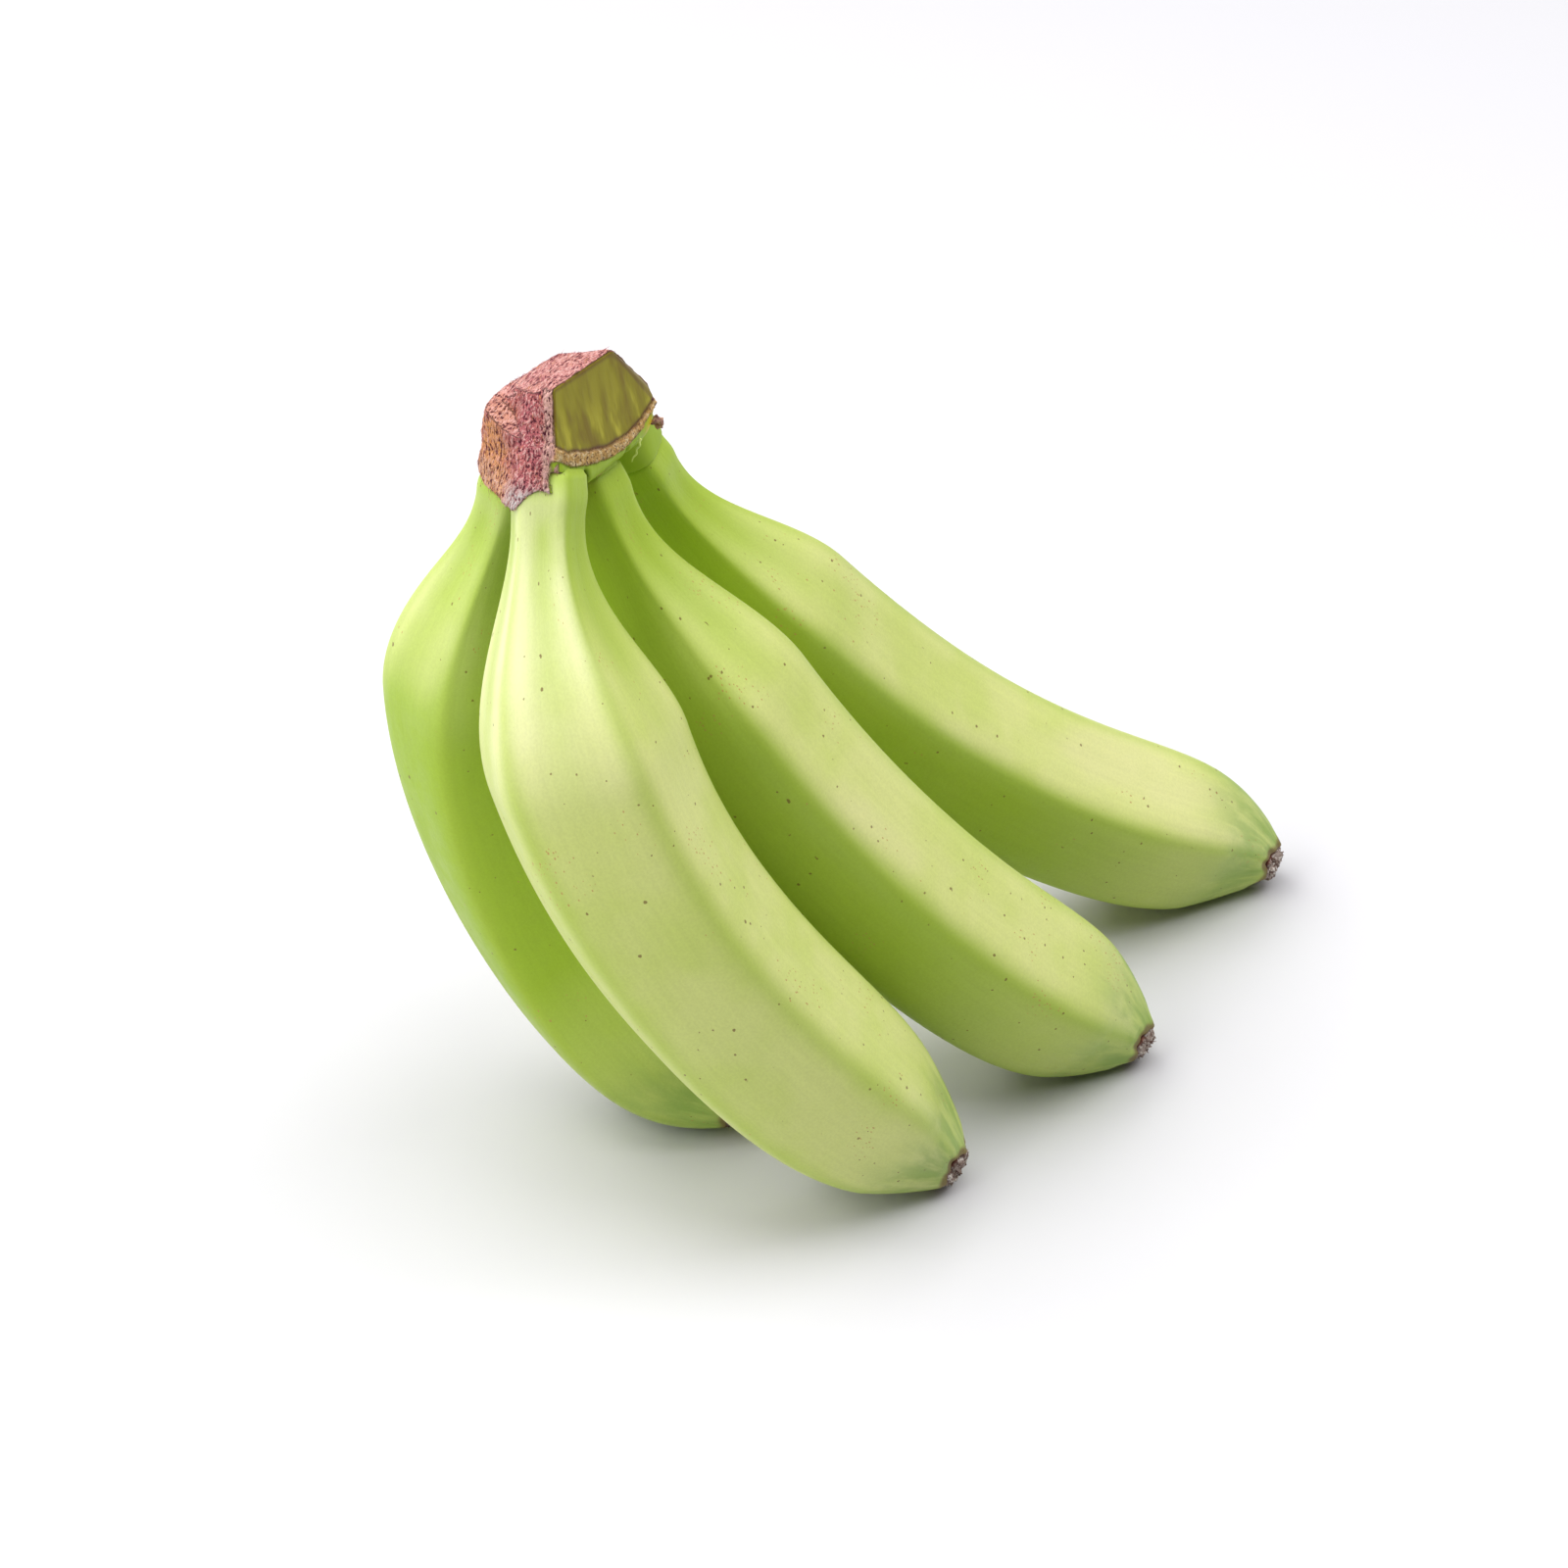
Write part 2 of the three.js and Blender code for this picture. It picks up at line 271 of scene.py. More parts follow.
class Bench:
    """A node tree and short ways to add nodes to it."""

    tree: bpy.types.NodeTree

    def node(self, kind: str, inputs: dict | None = None, **settings: object) -> bpy.types.Node:
        """Adds a node.

        Args:
            kind: Type of the node.
            inputs: Values or sockets for its inputs, by name or number.
            settings: Its properties.

        Returns:
            The node.
        """
        node = self.tree.nodes.new(kind)
        for key, value in settings.items():
            setattr(node, key, value)
        for key, value in (inputs or {}).items():
            self.feed(node.inputs[key], value)
        return node

    def feed(self, socket: Socket, value: object) -> None:
        """Links a socket to a socket, or sets a plain value on it.

        Args:
            socket: Input of a node.
            value: Socket to link or value to set.
        """
        if isinstance(value, Socket):
            self.tree.links.new(value, socket)
        elif isinstance(value, tuple) and socket.type == "RGBA" and len(value) == 3:
            socket.default_value = (*value, 1.0)
        else:
            socket.default_value = value

    def math(self, operation: str, a: object, b: object = 0.0, clamp: bool = False) -> Socket:
        """Result of one operation on two numbers."""
        return self.node("ShaderNodeMath", {0: a, 1: b}, operation=operation, use_clamp=clamp).outputs[0]

    def times(self, a: object, b: object) -> Socket:
        """Product of two numbers."""
        return self.math("MULTIPLY", a, b)

    def plus(self, a: object, b: object) -> Socket:
        """Sum of two numbers."""
        return self.math("ADD", a, b)

    def scaled(self, source: Socket, stretch: object) -> Socket:
        """A vector times a vector, axis by axis."""
        return self.node("ShaderNodeVectorMath", {0: source, 1: stretch}, operation="MULTIPLY").outputs[0]


class Shader(Bench):
    """One material and short ways to add nodes to it."""

    def __init__(self, name: str) -> None:
        """Starts an empty material with an output node.

        Args:
            name: Name of the material.
        """
        self.material = bpy.data.materials.new(name)
        self.material.use_nodes = True
        self.tree = self.material.node_tree
        self.tree.nodes.clear()
        self.output = self.tree.nodes.new("ShaderNodeOutputMaterial")

    def blend(self, a: object, b: object, t: object, kind: str = "MIX") -> Socket:
        """Colour a blended with colour b by t."""
        return self.node("ShaderNodeMix", {0: t, 6: a, 7: b}, data_type="RGBA", blend_type=kind).outputs[2]

    def between(self, value: object, low: float, high: float, to_low: float = 0.0, to_high: float = 1.0
                ) -> Socket:
        """value carried smoothly from low..high to to_low..to_high, held outside."""
        carry = {0: value, 1: low, 2: high, 3: to_low, 4: to_high}
        return self.node("ShaderNodeMapRange", carry, interpolation_type="SMOOTHSTEP").outputs[0]

    def value(self, name: str) -> Socket:
        """A number stored on the mesh."""
        return self.node("ShaderNodeAttribute", attribute_name=name).outputs["Fac"]

    def vector(self, name: str, stretch: Triple = (1, 1, 1)) -> Socket:
        """A vector stored on the mesh, scaled axis by axis."""
        return self.scaled(self.node("ShaderNodeAttribute", attribute_name=name).outputs["Vector"], stretch)

    def place(self) -> Socket:
        """Object coordinates."""
        return self.node("ShaderNodeTexCoord").outputs["Object"]

    def grain(self, where: Socket, size: float, detail: float = 3.0, rough: float = 0.55
              ) -> Socket:
        """Noise of about 0 to 1 with lumps of the given size in metres."""
        inputs = {"Vector": where, "Scale": 1 / size, "Detail": detail, "Roughness": rough}
        return self.node("ShaderNodeTexNoise", inputs).outputs["Fac"]

    def cells(self, where: Socket, size: float) -> bpy.types.Node:
        """Cells of the given size in metres: outputs Distance (in cells) and Color."""
        return self.node("ShaderNodeTexVoronoi", {"Vector": where, "Scale": 1 / size})

    def bump(self, height: Socket, depth: float) -> Socket:
        """Normal that follows a height of 0 to 1 times a depth in metres."""
        return self.node("ShaderNodeBump", {"Height": height, "Distance": depth, "Strength": 1.0}).outputs[0]

    def finish(self, inputs: dict) -> Material:
        """Closes the material with one principled surface.

        Args:
            inputs: Values or sockets for the surface, by name.

        Returns:
            The material.
        """
        surface = self.node("ShaderNodeBsdfPrincipled", inputs)
        self.tree.links.new(surface.outputs[0], self.output.inputs["Surface"])
        return self.material


class Grower(Bench):
    """A Geometry Nodes tree with named inputs."""

    def __init__(self, name: str, inputs: dict[str, str]) -> None:
        """Starts a tree.

        Args:
            name: Name of the tree.
            inputs: Kind of socket for each named input.
        """
        self.tree = bpy.data.node_groups.new(name, "GeometryNodeTree")
        face = self.tree.interface
        face.new_socket("Geometry", in_out="OUTPUT", socket_type="NodeSocketGeometry")
        face.new_socket("Geometry", in_out="INPUT", socket_type="NodeSocketGeometry")
        for key, kind in {**inputs, "Material": "Material"}.items():
            face.new_socket(key, in_out="INPUT", socket_type=f"NodeSocket{kind}")
        self.start = self.tree.nodes.new("NodeGroupInput").outputs
        self.end = self.tree.nodes.new("NodeGroupOutput")

    def stored(self, name: str, kind: str = "FLOAT") -> Socket:
        """A value stored on the points of the input."""
        return self.node("GeometryNodeInputNamedAttribute", {"Name": name}, data_type=kind).outputs[0]

    def close(self, shape: Socket) -> None:
        """Ends the tree with realized, smooth geometry in its material.

        Args:
            shape: Geometry that the tree has made.
        """
        real = self.node("GeometryNodeRealizeInstances", {0: shape}).outputs[0]
        even = self.node("GeometryNodeSetShadeSmooth", {0: real}).outputs[0]
        dressed = self.node("GeometryNodeSetMaterial", {"Geometry": even, "Material": self.start["Material"]})
        self.feed(self.end.inputs[0], dressed.outputs[0])

    def grow(self, name: str, seed: Mesh, values: dict[str, object]) -> Piece:
        """Runs the tree on a mesh.

        Args:
            name: Name of the new object.
            seed: Mesh that the tree starts from.
            values: Values of the named inputs.

        Returns:
            A plain object with the grown mesh and no modifier.
        """
        piece = bpy.data.objects.new(name, seed)
        bpy.context.scene.collection.objects.link(piece)
        modifier = piece.modifiers.new(name, "NODES")
        modifier.node_group = self.tree
        for key, value in values.items():
            modifier[self.tree.interface.items_tree[key].identifier] = value
        grown = piece.evaluated_get(bpy.context.evaluated_depsgraph_get())
        mesh = bpy.data.meshes.new_from_object(grown)
        piece.modifiers.clear()
        piece.data = mesh
        return piece


class SweptSkin(Grower):
    """Sweeps a soft pentagon along a spine whose points carry the frame and the sizes there."""

    def __init__(self) -> None:
        """Lays out the tree."""
        super().__init__("swept_skin", {"Around": "Int", "Stations": "Int"})
        around, stations = self.start["Around"], self.start["Stations"]
        sides = self.math("SUBTRACT", stations, 1.0)
        tube = self.node("GeometryNodeMeshCylinder", {"Vertices": around, "Side Segments": sides},
                         fill_type="NGON")
        index = self.node("GeometryNodeInputIndex").outputs[0]
        row = self.math("FLOOR", self.math("DIVIDE", index, around))
        share = self.math("DIVIDE", self.math("MODULO", index, around), around)
        angle = self.times(share, FULL_TURN)
        turn = self.math("SUBTRACT", angle, self.at_row("ridge", row))
        sharp = self.at_row("sharp", row)
        total: object = 0.0
        for face in range(RIDGES):
            facing = self.math("COSINE", self.math("SUBTRACT", turn, (face + 0.5) * FULL_TURN / RIDGES))
            total = self.plus(self.math("POWER", self.math("MAXIMUM", facing, 0.0), sharp), total)
        corner = self.math("POWER", total, self.math("DIVIDE", -1.0, sharp))
        reach = self.plus(self.times(corner, self.at_row("reach", row)), self.at_row("extra", row))
        point = self.at_row("centre", row, "FLOAT_VECTOR")
        for way, part in (("inside", "COSINE"), ("side", "SINE")):
            step = self.times(reach, self.math(part, angle))
            arm = self.node("ShaderNodeVectorMath", {0: self.at_row(way, row, "FLOAT_VECTOR"), "Scale": step},
                            operation="SCALE").outputs[0]
            point = self.node("ShaderNodeVectorMath", {0: point, 1: arm}, operation="ADD").outputs[0]
        skin = self.node("GeometryNodeSetPosition", {"Geometry": tube.outputs["Mesh"], "Position": point})
        self.close(skin.outputs[0])

    def at_row(self, name: str, row: Socket, kind: str = "FLOAT") -> Socket:
        """A value stored on the spine point with the given number."""
        inputs = {"Geometry": self.start["Geometry"], "Value": self.stored(name, kind), "Index": row}
        return self.node("GeometryNodeSampleIndex", inputs, data_type=kind, domain="POINT").outputs[0]


class Slivers(Grower):
    """Strews slender slivers over a mesh, as thickly as its value "cover" asks, along "grain"."""

    SIDES = 5
    BLUNTNESS = 0.3  # width of the far end, as a share of the foot
    SMALLEST = (0.5, 0.5, 0.4)  # of the random scales across and along a sliver
    LARGEST = (1.4, 1.4, 1.6)
    STRAY = 0.35  # of the random lean away from the grain

    def __init__(self) -> None:
        """Lays out the tree."""
        super().__init__("slivers", {"Density": "Float", "Length": "Float", "Width": "Float", "Seed": "Int"})
        density = self.times(self.start["Density"], self.stored("cover"))
        spread = {"Mesh": self.start["Geometry"], "Density": density, "Seed": self.start["Seed"]}
        points = self.node("GeometryNodeDistributePointsOnFaces", spread,
                           distribute_method="RANDOM").outputs[0]
        blunt = self.times(self.start["Width"], self.BLUNTNESS)
        sliver = self.node("GeometryNodeMeshCone", {
            "Vertices": self.SIDES, "Radius Top": blunt,
            "Radius Bottom": self.start["Width"], "Depth": self.start["Length"],
        }).outputs["Mesh"]
        size, stray = (
            self.node("FunctionNodeRandomValue", {0: least, 1: most}, data_type="FLOAT_VECTOR")
            for least, most in ((self.SMALLEST, self.LARGEST), ((-self.STRAY,) * 3, (self.STRAY,) * 3)))
        for draw in (size, stray):
            self.feed(draw.inputs["Seed"], self.start["Seed"])
        grain = self.stored("grain", "FLOAT_VECTOR")
        way = self.node("ShaderNodeVectorMath", {0: grain, 1: stray.outputs[0]}, operation="ADD").outputs[0]
        turn = self.node("FunctionNodeAlignRotationToVector", {"Vector": way}, axis="Z").outputs[0]
        placed = {"Points": points, "Instance": sliver, "Rotation": turn, "Scale": size.outputs[0]}
        self.close(self.node("GeometryNodeInstanceOnPoints", placed).outputs[0])


@dataclass(frozen=True)
class Spots:
    """One kind of small mark on the peel, at most one to a cell."""

    spacing: float  # width of a cell in metres
    reach: float  # radius of a mark, in cells
    rarity: float  # share of the cells that stay clean
    squeeze: float  # of the cells across the fruit
    tone: Colour
    clustered: bool = False


@dataclass(frozen=True)
class PeelFinish:
    """Waxy unripe peel: pale on the broad faces, greener along ridges and tips, with painted shade, darker
    and greener, in the hollows and on sides turned from the light, and a painted highlight over a whitish
    bloom.
    """

    pale: Colour = (0.71, 0.75, 0.28)
    leaf: Colour = (0.59, 0.69, 0.17)
    # painted shade: darker, greener tone for the sides turned from the light
    shaded: Colour = (0.34, 0.50, 0.028)
    neck: Colour = (0.39, 0.57, 0.030)
    # greener tone of the ridges; also used for painted shade in the hollows
    ridge: Colour = (0.36, 0.50, 0.045)
    tip: Colour = (0.20, 0.36, 0.065)
    cream: Colour = (0.80, 0.76, 0.40)
    # whitish waxy bloom, with a painted highlight on faces turned to the left light
    bloom: Colour = (0.95, 0.91, 0.62)
    scar: Colour = (0.17, 0.085, 0.04)
    speck: Colour = (0.16, 0.075, 0.02)
    rust: Colour = (0.50, 0.27, 0.08)
    gloss: float = 0.42  # roughness
    shine: float = 0.2
    bump_depth: float = 0.0001
    glow: float = 0.08  # of light that enters the peel
    glow_reach: Triple = (1.0, 0.9, 0.3)
    glow_depth: float = 0.003

    def make(self) -> Material:
        """Returns: the material, which reads the values stored on a fruit."""
        s = Shader("peel")
        skin = s.vector("skin")
        fibres = s.grain(s.vector("skin", (1, 1, 0.05)), 0.0012, 3.0, 0.6)
        colour = self.worn(s, skin, self.zoned(s, skin), fibres)
        colour = s.blend(colour, self.scar, s.value("scar"))
        rough = s.between(s.grain(skin, 0.004, 2.0), 0.3, 0.7, self.gloss - 0.04, self.gloss + 0.06)
        height = s.plus(s.times(fibres, 0.3), s.times(s.grain(skin, 0.0012, 2.0), 0.5))
        return s.finish({
            "Base Color": colour, "Roughness": rough, "Normal": s.bump(height, self.bump_depth),
            "Subsurface Weight": self.glow, "Subsurface Radius": self.glow_reach,
            "Subsurface Scale": self.glow_depth, "Specular IOR Level": self.shine,
        })

    def zoned(self, s: Shader, skin: Socket) -> Socket:
        """Colours the peel by place: faces, painted shade on the sides turned from the light, stalk, a
        whitish bloom with a painted highlight, painted shade in the hollows, ridges and tip.

        Args:
            s: Material in the making.
            skin: Place on the peel.

        Returns:
            The colour.
        """
        patches = s.grain(skin, 0.022, 3.0)
        colour = s.blend(self.pale, self.leaf, s.between(patches, 0.38, 0.72, 0.0, 0.7))
        cream = s.between(s.grain(s.scaled(skin, (1, 1, 0.5)), 0.03, 2.0), 0.52, 0.72, 0.0, 0.5)
        hidden = s.value("hidden")
        mottle = s.between(s.grain(s.scaled(skin, (1, 1, 0.4)), 0.005, 3.0), 0.34, 0.64, 0.3, 0.9)
        for tone, weight in (
                (self.cream, cream),
                # painted shade on the sides turned from the light
                (self.shaded, s.times(hidden, 0.9)),
                (self.neck, s.times(s.value("stalk"), s.between(hidden, 0.0, 1.0, 0.8, 0.9))),
                # whitish bloom with a painted highlight
                (self.bloom, s.times(s.value("bloom"), s.between(patches, 0.7, 0.35, 0.55, 0.95))),
                # painted shade in the hollows
                (self.ridge, s.times(s.value("hollow"), 0.6)),
                (self.ridge, s.times(s.value("crest"), 0.5)),
                (self.tip, s.times(mottle, s.times(s.value("tip"), 0.8)))):
            colour = s.blend(colour, tone, weight)
        return colour

    def worn(self, s: Shader, skin: Socket, colour: Socket, fibres: Socket) -> Socket:
        """Adds fine grain, specks and rusty rub marks.

        Args:
            s: Material in the making.
            skin: Place on the peel.
            colour: Colour of the clean peel.
            fibres: Noise drawn out along the fruit.

        Returns:
            The colour.
        """
        fine = s.grain(skin, 0.0005, 2.0)
        shade = s.plus(s.between(fibres, 0.25, 0.75, 0.975, 1.02), s.between(fine, 0.3, 0.7, -0.03, 0.03))
        grey = s.node("ShaderNodeCombineColor", {0: shade, 1: shade, 2: shade}).outputs[0]
        colour = s.blend(colour, grey, 1.0, "MULTIPLY")
        clusters = s.between(s.grain(s.scaled(skin, (1, 1, 0.7)), 0.014, 1.0), 0.6, 0.68, -1.0, 0.0)
        for kind in (Spots(0.003, 0.1, 0.35, 1.0, self.speck), Spots(0.008, 0.055, 0.35, 1.4, self.speck),
                     Spots(0.0012, 0.2, 0.15, 1.7, self.rust, clustered=True)):
            cells = s.cells(s.scaled(skin, (kind.squeeze, kind.squeeze, 1)), kind.spacing)
            pick = s.node("ShaderNodeSeparateColor", {"Color": cells.outputs["Color"]}).outputs
            chance = s.plus(pick[0], s.between(s.grain(skin, 0.02, 1.0), 0.45, 0.7, -0.12, 0.22))
            if kind.clustered:
                chance = s.plus(chance, clusters)
            chosen = s.math("GREATER_THAN", chance, kind.rarity)
            radius = s.times(s.plus(pick[1], 0.35), kind.reach)
            uneven = s.between(s.grain(skin, 0.0006, 2.0), 0.3, 0.7, -0.03, 0.03)
            inside = s.math("SUBTRACT", radius, s.plus(cells.outputs["Distance"], uneven))
            dot = s.times(s.between(inside, 0.0, 0.03), chosen)
            colour = s.blend(colour, kind.tone, s.times(dot, 0.75))
        return colour


@dataclass(frozen=True)
class CrownFinish:
    """Dry fibrous bark, a waxy olive knife cut, a corky rim and green stalk collars with painted shade in the
    creases between stalks.
    """

    bark: Colour = (0.45, 0.12, 0.135)
    bark_dark: Colour = (0.09, 0.018, 0.03)
    bark_light: Colour = (0.70, 0.40, 0.37)
    bark_warm: Colour = (0.74, 0.34, 0.12)
    strip: Colour = (0.58, 0.33, 0.27)
    ash: Colour = (0.56, 0.50, 0.48)
    olive: Colour = (0.27, 0.235, 0.010)
    olive_light: Colour = (0.55, 0.50, 0.04)
    olive_brown: Colour = (0.17, 0.10, 0.010)
    cork: Colour = (0.68, 0.41, 0.14)
    cork_pale: Colour = (0.92, 0.72, 0.40)
    collar: Colour = (0.34, 0.49, 0.03)
    collar_dry: Colour = (0.78, 0.50, 0.02)
    # painted shade: dark green in the creases between stalk necks
    crease: Colour = (0.10, 0.15, 0.012)
    shine: float = 0.15
    bump_depth: float = 0.0016

    def make(self) -> Material:
        """Returns: the material, which reads the zones stored on the crown."""
        s = Shader("crown_surfaces")
        here = s.place()
        granules = s.grain(s.vector("strand", (1, 1, 0.36)), 0.00042, 2.0, 0.6)
        threads = s.grain(s.vector("strand", (1, 1, 0.1)), 0.0007, 3.0, 0.6)
        crumbs = s.plus(s.times(granules, 0.6), s.times(threads, 0.4))
        broad = s.grain(here, 0.007, 3.0)
        warm = s.math("MULTIPLY", s.value("warm"), s.between(broad, 0.35, 0.6), clamp=True)
        tone = s.blend(self.bark, self.bark_warm, s.times(warm, 0.9))
        pale = s.math("MAXIMUM", s.value("strip"), s.times(s.value("top"), 0.4))
        tone = s.blend(tone, self.strip, pale)
        light = s.blend(tone, self.bark_light, s.between(warm, 0.0, 1.0, 0.85, 0.5))
        bark = s.blend(self.bark_dark, tone, s.between(crumbs, 0.41, 0.48))
        bark = s.blend(bark, light, s.between(crumbs, 0.51, 0.57, 0.0, 0.9))
        bark = s.blend(bark, self.ash, s.times(s.value("ash"), s.between(crumbs, 0.4, 0.55)))
        bark = s.blend(bark, self.bark_dark, s.between(threads, 0.41, 0.32, 0.0, 0.7))
        streaks = s.grain(s.vector("strand", (1, 1, 0.25)), 0.004, 3.0)
        cut = s.blend(self.olive, self.olive_brown, s.between(streaks, 0.48, 0.68, 0.0, 0.6))
        low = s.times(s.value("low"), s.between(streaks, 0.52, 0.36))
        cut = s.blend(cut, self.olive_light, s.times(low, 0.7))
        cut = s.blend(cut, self.bark_dark, s.value("border"))
        pores = s.grain(here, 0.0007, 3.0, 0.7)
        cork = s.blend(self.cork, self.cork_pale, s.between(s.grain(here, 0.0011, 3.0, 0.7), 0.45, 0.65))
        cork = s.blend(cork, self.bark_dark, s.between(pores, 0.46, 0.36, 0.0, 0.85))
        green = s.blend(self.collar, self.collar_dry, s.value("dry"))
        # painted shade darkens the creases between stalks
        green = s.blend(green, self.crease, s.times(s.value("crease"), 0.7))
        w_cut, w_rim, w_collar = (s.value(zone.value) for zone in Zone)
        colour = s.blend(s.blend(s.blend(bark, green, w_collar), cut, w_cut), cork, w_rim)
        even = s.times(s.math("MAXIMUM", w_cut, w_collar), s.math("SUBTRACT", 1.0, w_rim))
        rough = s.between(even, 0.0, 1.0, 0.85, 0.45)
        coarse = s.times(crumbs, s.math("SUBTRACT", 1.0, even))
        pitted = s.times(pores, s.times(w_rim, 0.6))
        height = s.plus(s.plus(coarse, pitted), s.times(streaks, 0.1))
        return s.finish({"Base Color": colour, "Roughness": rough, "Normal": s.bump(height, self.bump_depth),
                         "Specular IOR Level": self.shine})


@dataclass(frozen=True)
class FibreFinish:
    """Loose bark fibres and torn threads in one tone."""

    name: str
    tone: Colour
    deep: Colour

    def make(self) -> Material:
        """Returns: the material."""
        s = Shader(self.name)
        colour = s.blend(self.deep, self.tone, s.between(s.grain(s.place(), 0.0012, 2.0), 0.35, 0.65))
        return s.finish({"Base Color": colour, "Roughness": 0.8})


@dataclass(frozen=True)
class DryFinish:
    """Withered flower remains: grey-brown, crinkled, with whitish flecks and a maroon foot."""

    foot: Colour = (0.20, 0.07, 0.045)
    brown: Colour = (0.13, 0.07, 0.05)
    grey: Colour = (0.42, 0.33, 0.28)
    fleck: Colour = (0.82, 0.75, 0.68)

    def make(self) -> Material:
        """Returns: the material, which reads the height stored on the remains."""
        s = Shader("dry_flower")
        here = s.place()
        crinkle = s.grain(here, 0.0013, 4.0, 0.7)
        colour = s.blend(self.brown, self.grey, s.between(crinkle, 0.42, 0.6))
        flecks = s.between(s.grain(here, 0.0009, 3.0, 0.7), 0.53, 0.62, 0.0, 0.85)
        colour = s.blend(colour, self.fleck, flecks)
        colour = s.blend(colour, self.foot, s.between(s.value("height"), 0.3, 0.05))
        return s.finish({"Base Color": colour, "Roughness": 0.85, "Normal": s.bump(crinkle, 0.0007)})


@dataclass(frozen=True)
class FloorFinish:
    """Plain matt white ground."""

    tone: Colour = (0.68, 0.672, 0.70)

    def make(self) -> Material:
        """Returns: the material."""
        return Shader("ground").finish({
            "Base Color": self.tone, "Roughness": 0.95, "Specular IOR Level": 0.1})


# ---- fruits ------------------------------------------------------------------------------


@dataclass
class Growth:
    """Sizes that all fruits of the hand share, in millimetres where nothing else is said."""

    neck_length: float = 10.5  # of the stalk, before it swells
    shoulder: float = 47.0  # length of the swelling
    neck_bend_reach: float = 0.6  # share of the shoulder over which the stalk's bend fades out
    bend_settles: float = 20.0  # length past the stalk before the bend of the body changes
    tip_ratio: float = 0.28  # radius left at the end, as a share of the body
    tip_power: float = 4.0  # how late the body tapers
    crook_length: float = 24.0  # last part, which turns towards tip_heading
    crook_onset: float = 6.0
    crook_bend: float = 162.0  # degrees per 100 mm
    tip_heading: Triple = (0.83, -0.43, -0.35)
    inside: Triple = (1.0, 0.0, 0.3)  # rough direction of the inside of every bend
    sharpness: Triple = (8.0, 6.5, 5.0)  # of the ridges on the stalk, the body and the tip
    tip_share: float = 0.1  # of the length, over which the ridges soften
    sun: Triple = (0.0, 0.45, 0.9)  # sides that face it stay pale; sides turned from it get painted shade
    bloomed: Triple = (-0.5, -0.8, 0.3)  # sides that face it carry a whitish bloom with a painted highlight
    notched: Triple = (0.1, -0.8, 0.6)  # side on which the end lip is notched
    around: int = 170
    along: int = 280
    root_crowding: float = 0.35  # of the rows towards the tip
    root_lip: tuple = ((-1.8, -1.5), (-1.0, -0.8), (-0.4, -0.35))  # distance, growth of the radius
    end_lip: tuple = ((0.12, -0.2), (0.1, -0.5), (-0.3, -0.85), (-1.2, -1.1))
    wave_height: float = 0.10
    edge_height: float = 0.16  # of a ridge above the soft pentagon
    edge_width: float = 5.0  # in degrees
    crest_width: float = 7.0  # of the greener stripe on a ridge, in degrees
    face_dips: Triple = (0.05, 0.14, 0.12)  # everywhere, below the stalk, before the tip
    stalk_ring: Triple = (0.35, 4.5, 2.4)  # height, place and width of the swelling on the stalk
    root_groove: tuple[float, float] = (0.2, 1.2)  # depth and width
    lip_waves: tuple = ((0.22, 7, 1), (0.16, 12, 2))  # height, number, seeds of shift
    notch: tuple[float, float] = (1.5, 0.42)  # depth, half-width in radians
    side_notches: Triple = (0.7, 1.5, 0.3)  # depth, place, half-width
    grain_shift: float = 60.0  # between the grain of fruits with seeds one apart


def beside_ridge(turn: Array) -> Array:
    """Degrees to the nearest ridge, for angles from the front ridge."""
    return np.degrees(nearest_turn(RIDGES * turn)) / RIDGES


def middle_of_face(turn: Array) -> Array:
    """1 in the middle of a face and 0 on a ridge, for angles from the front ridge."""
    return 0.5 - 0.5 * np.cos(RIDGES * turn)


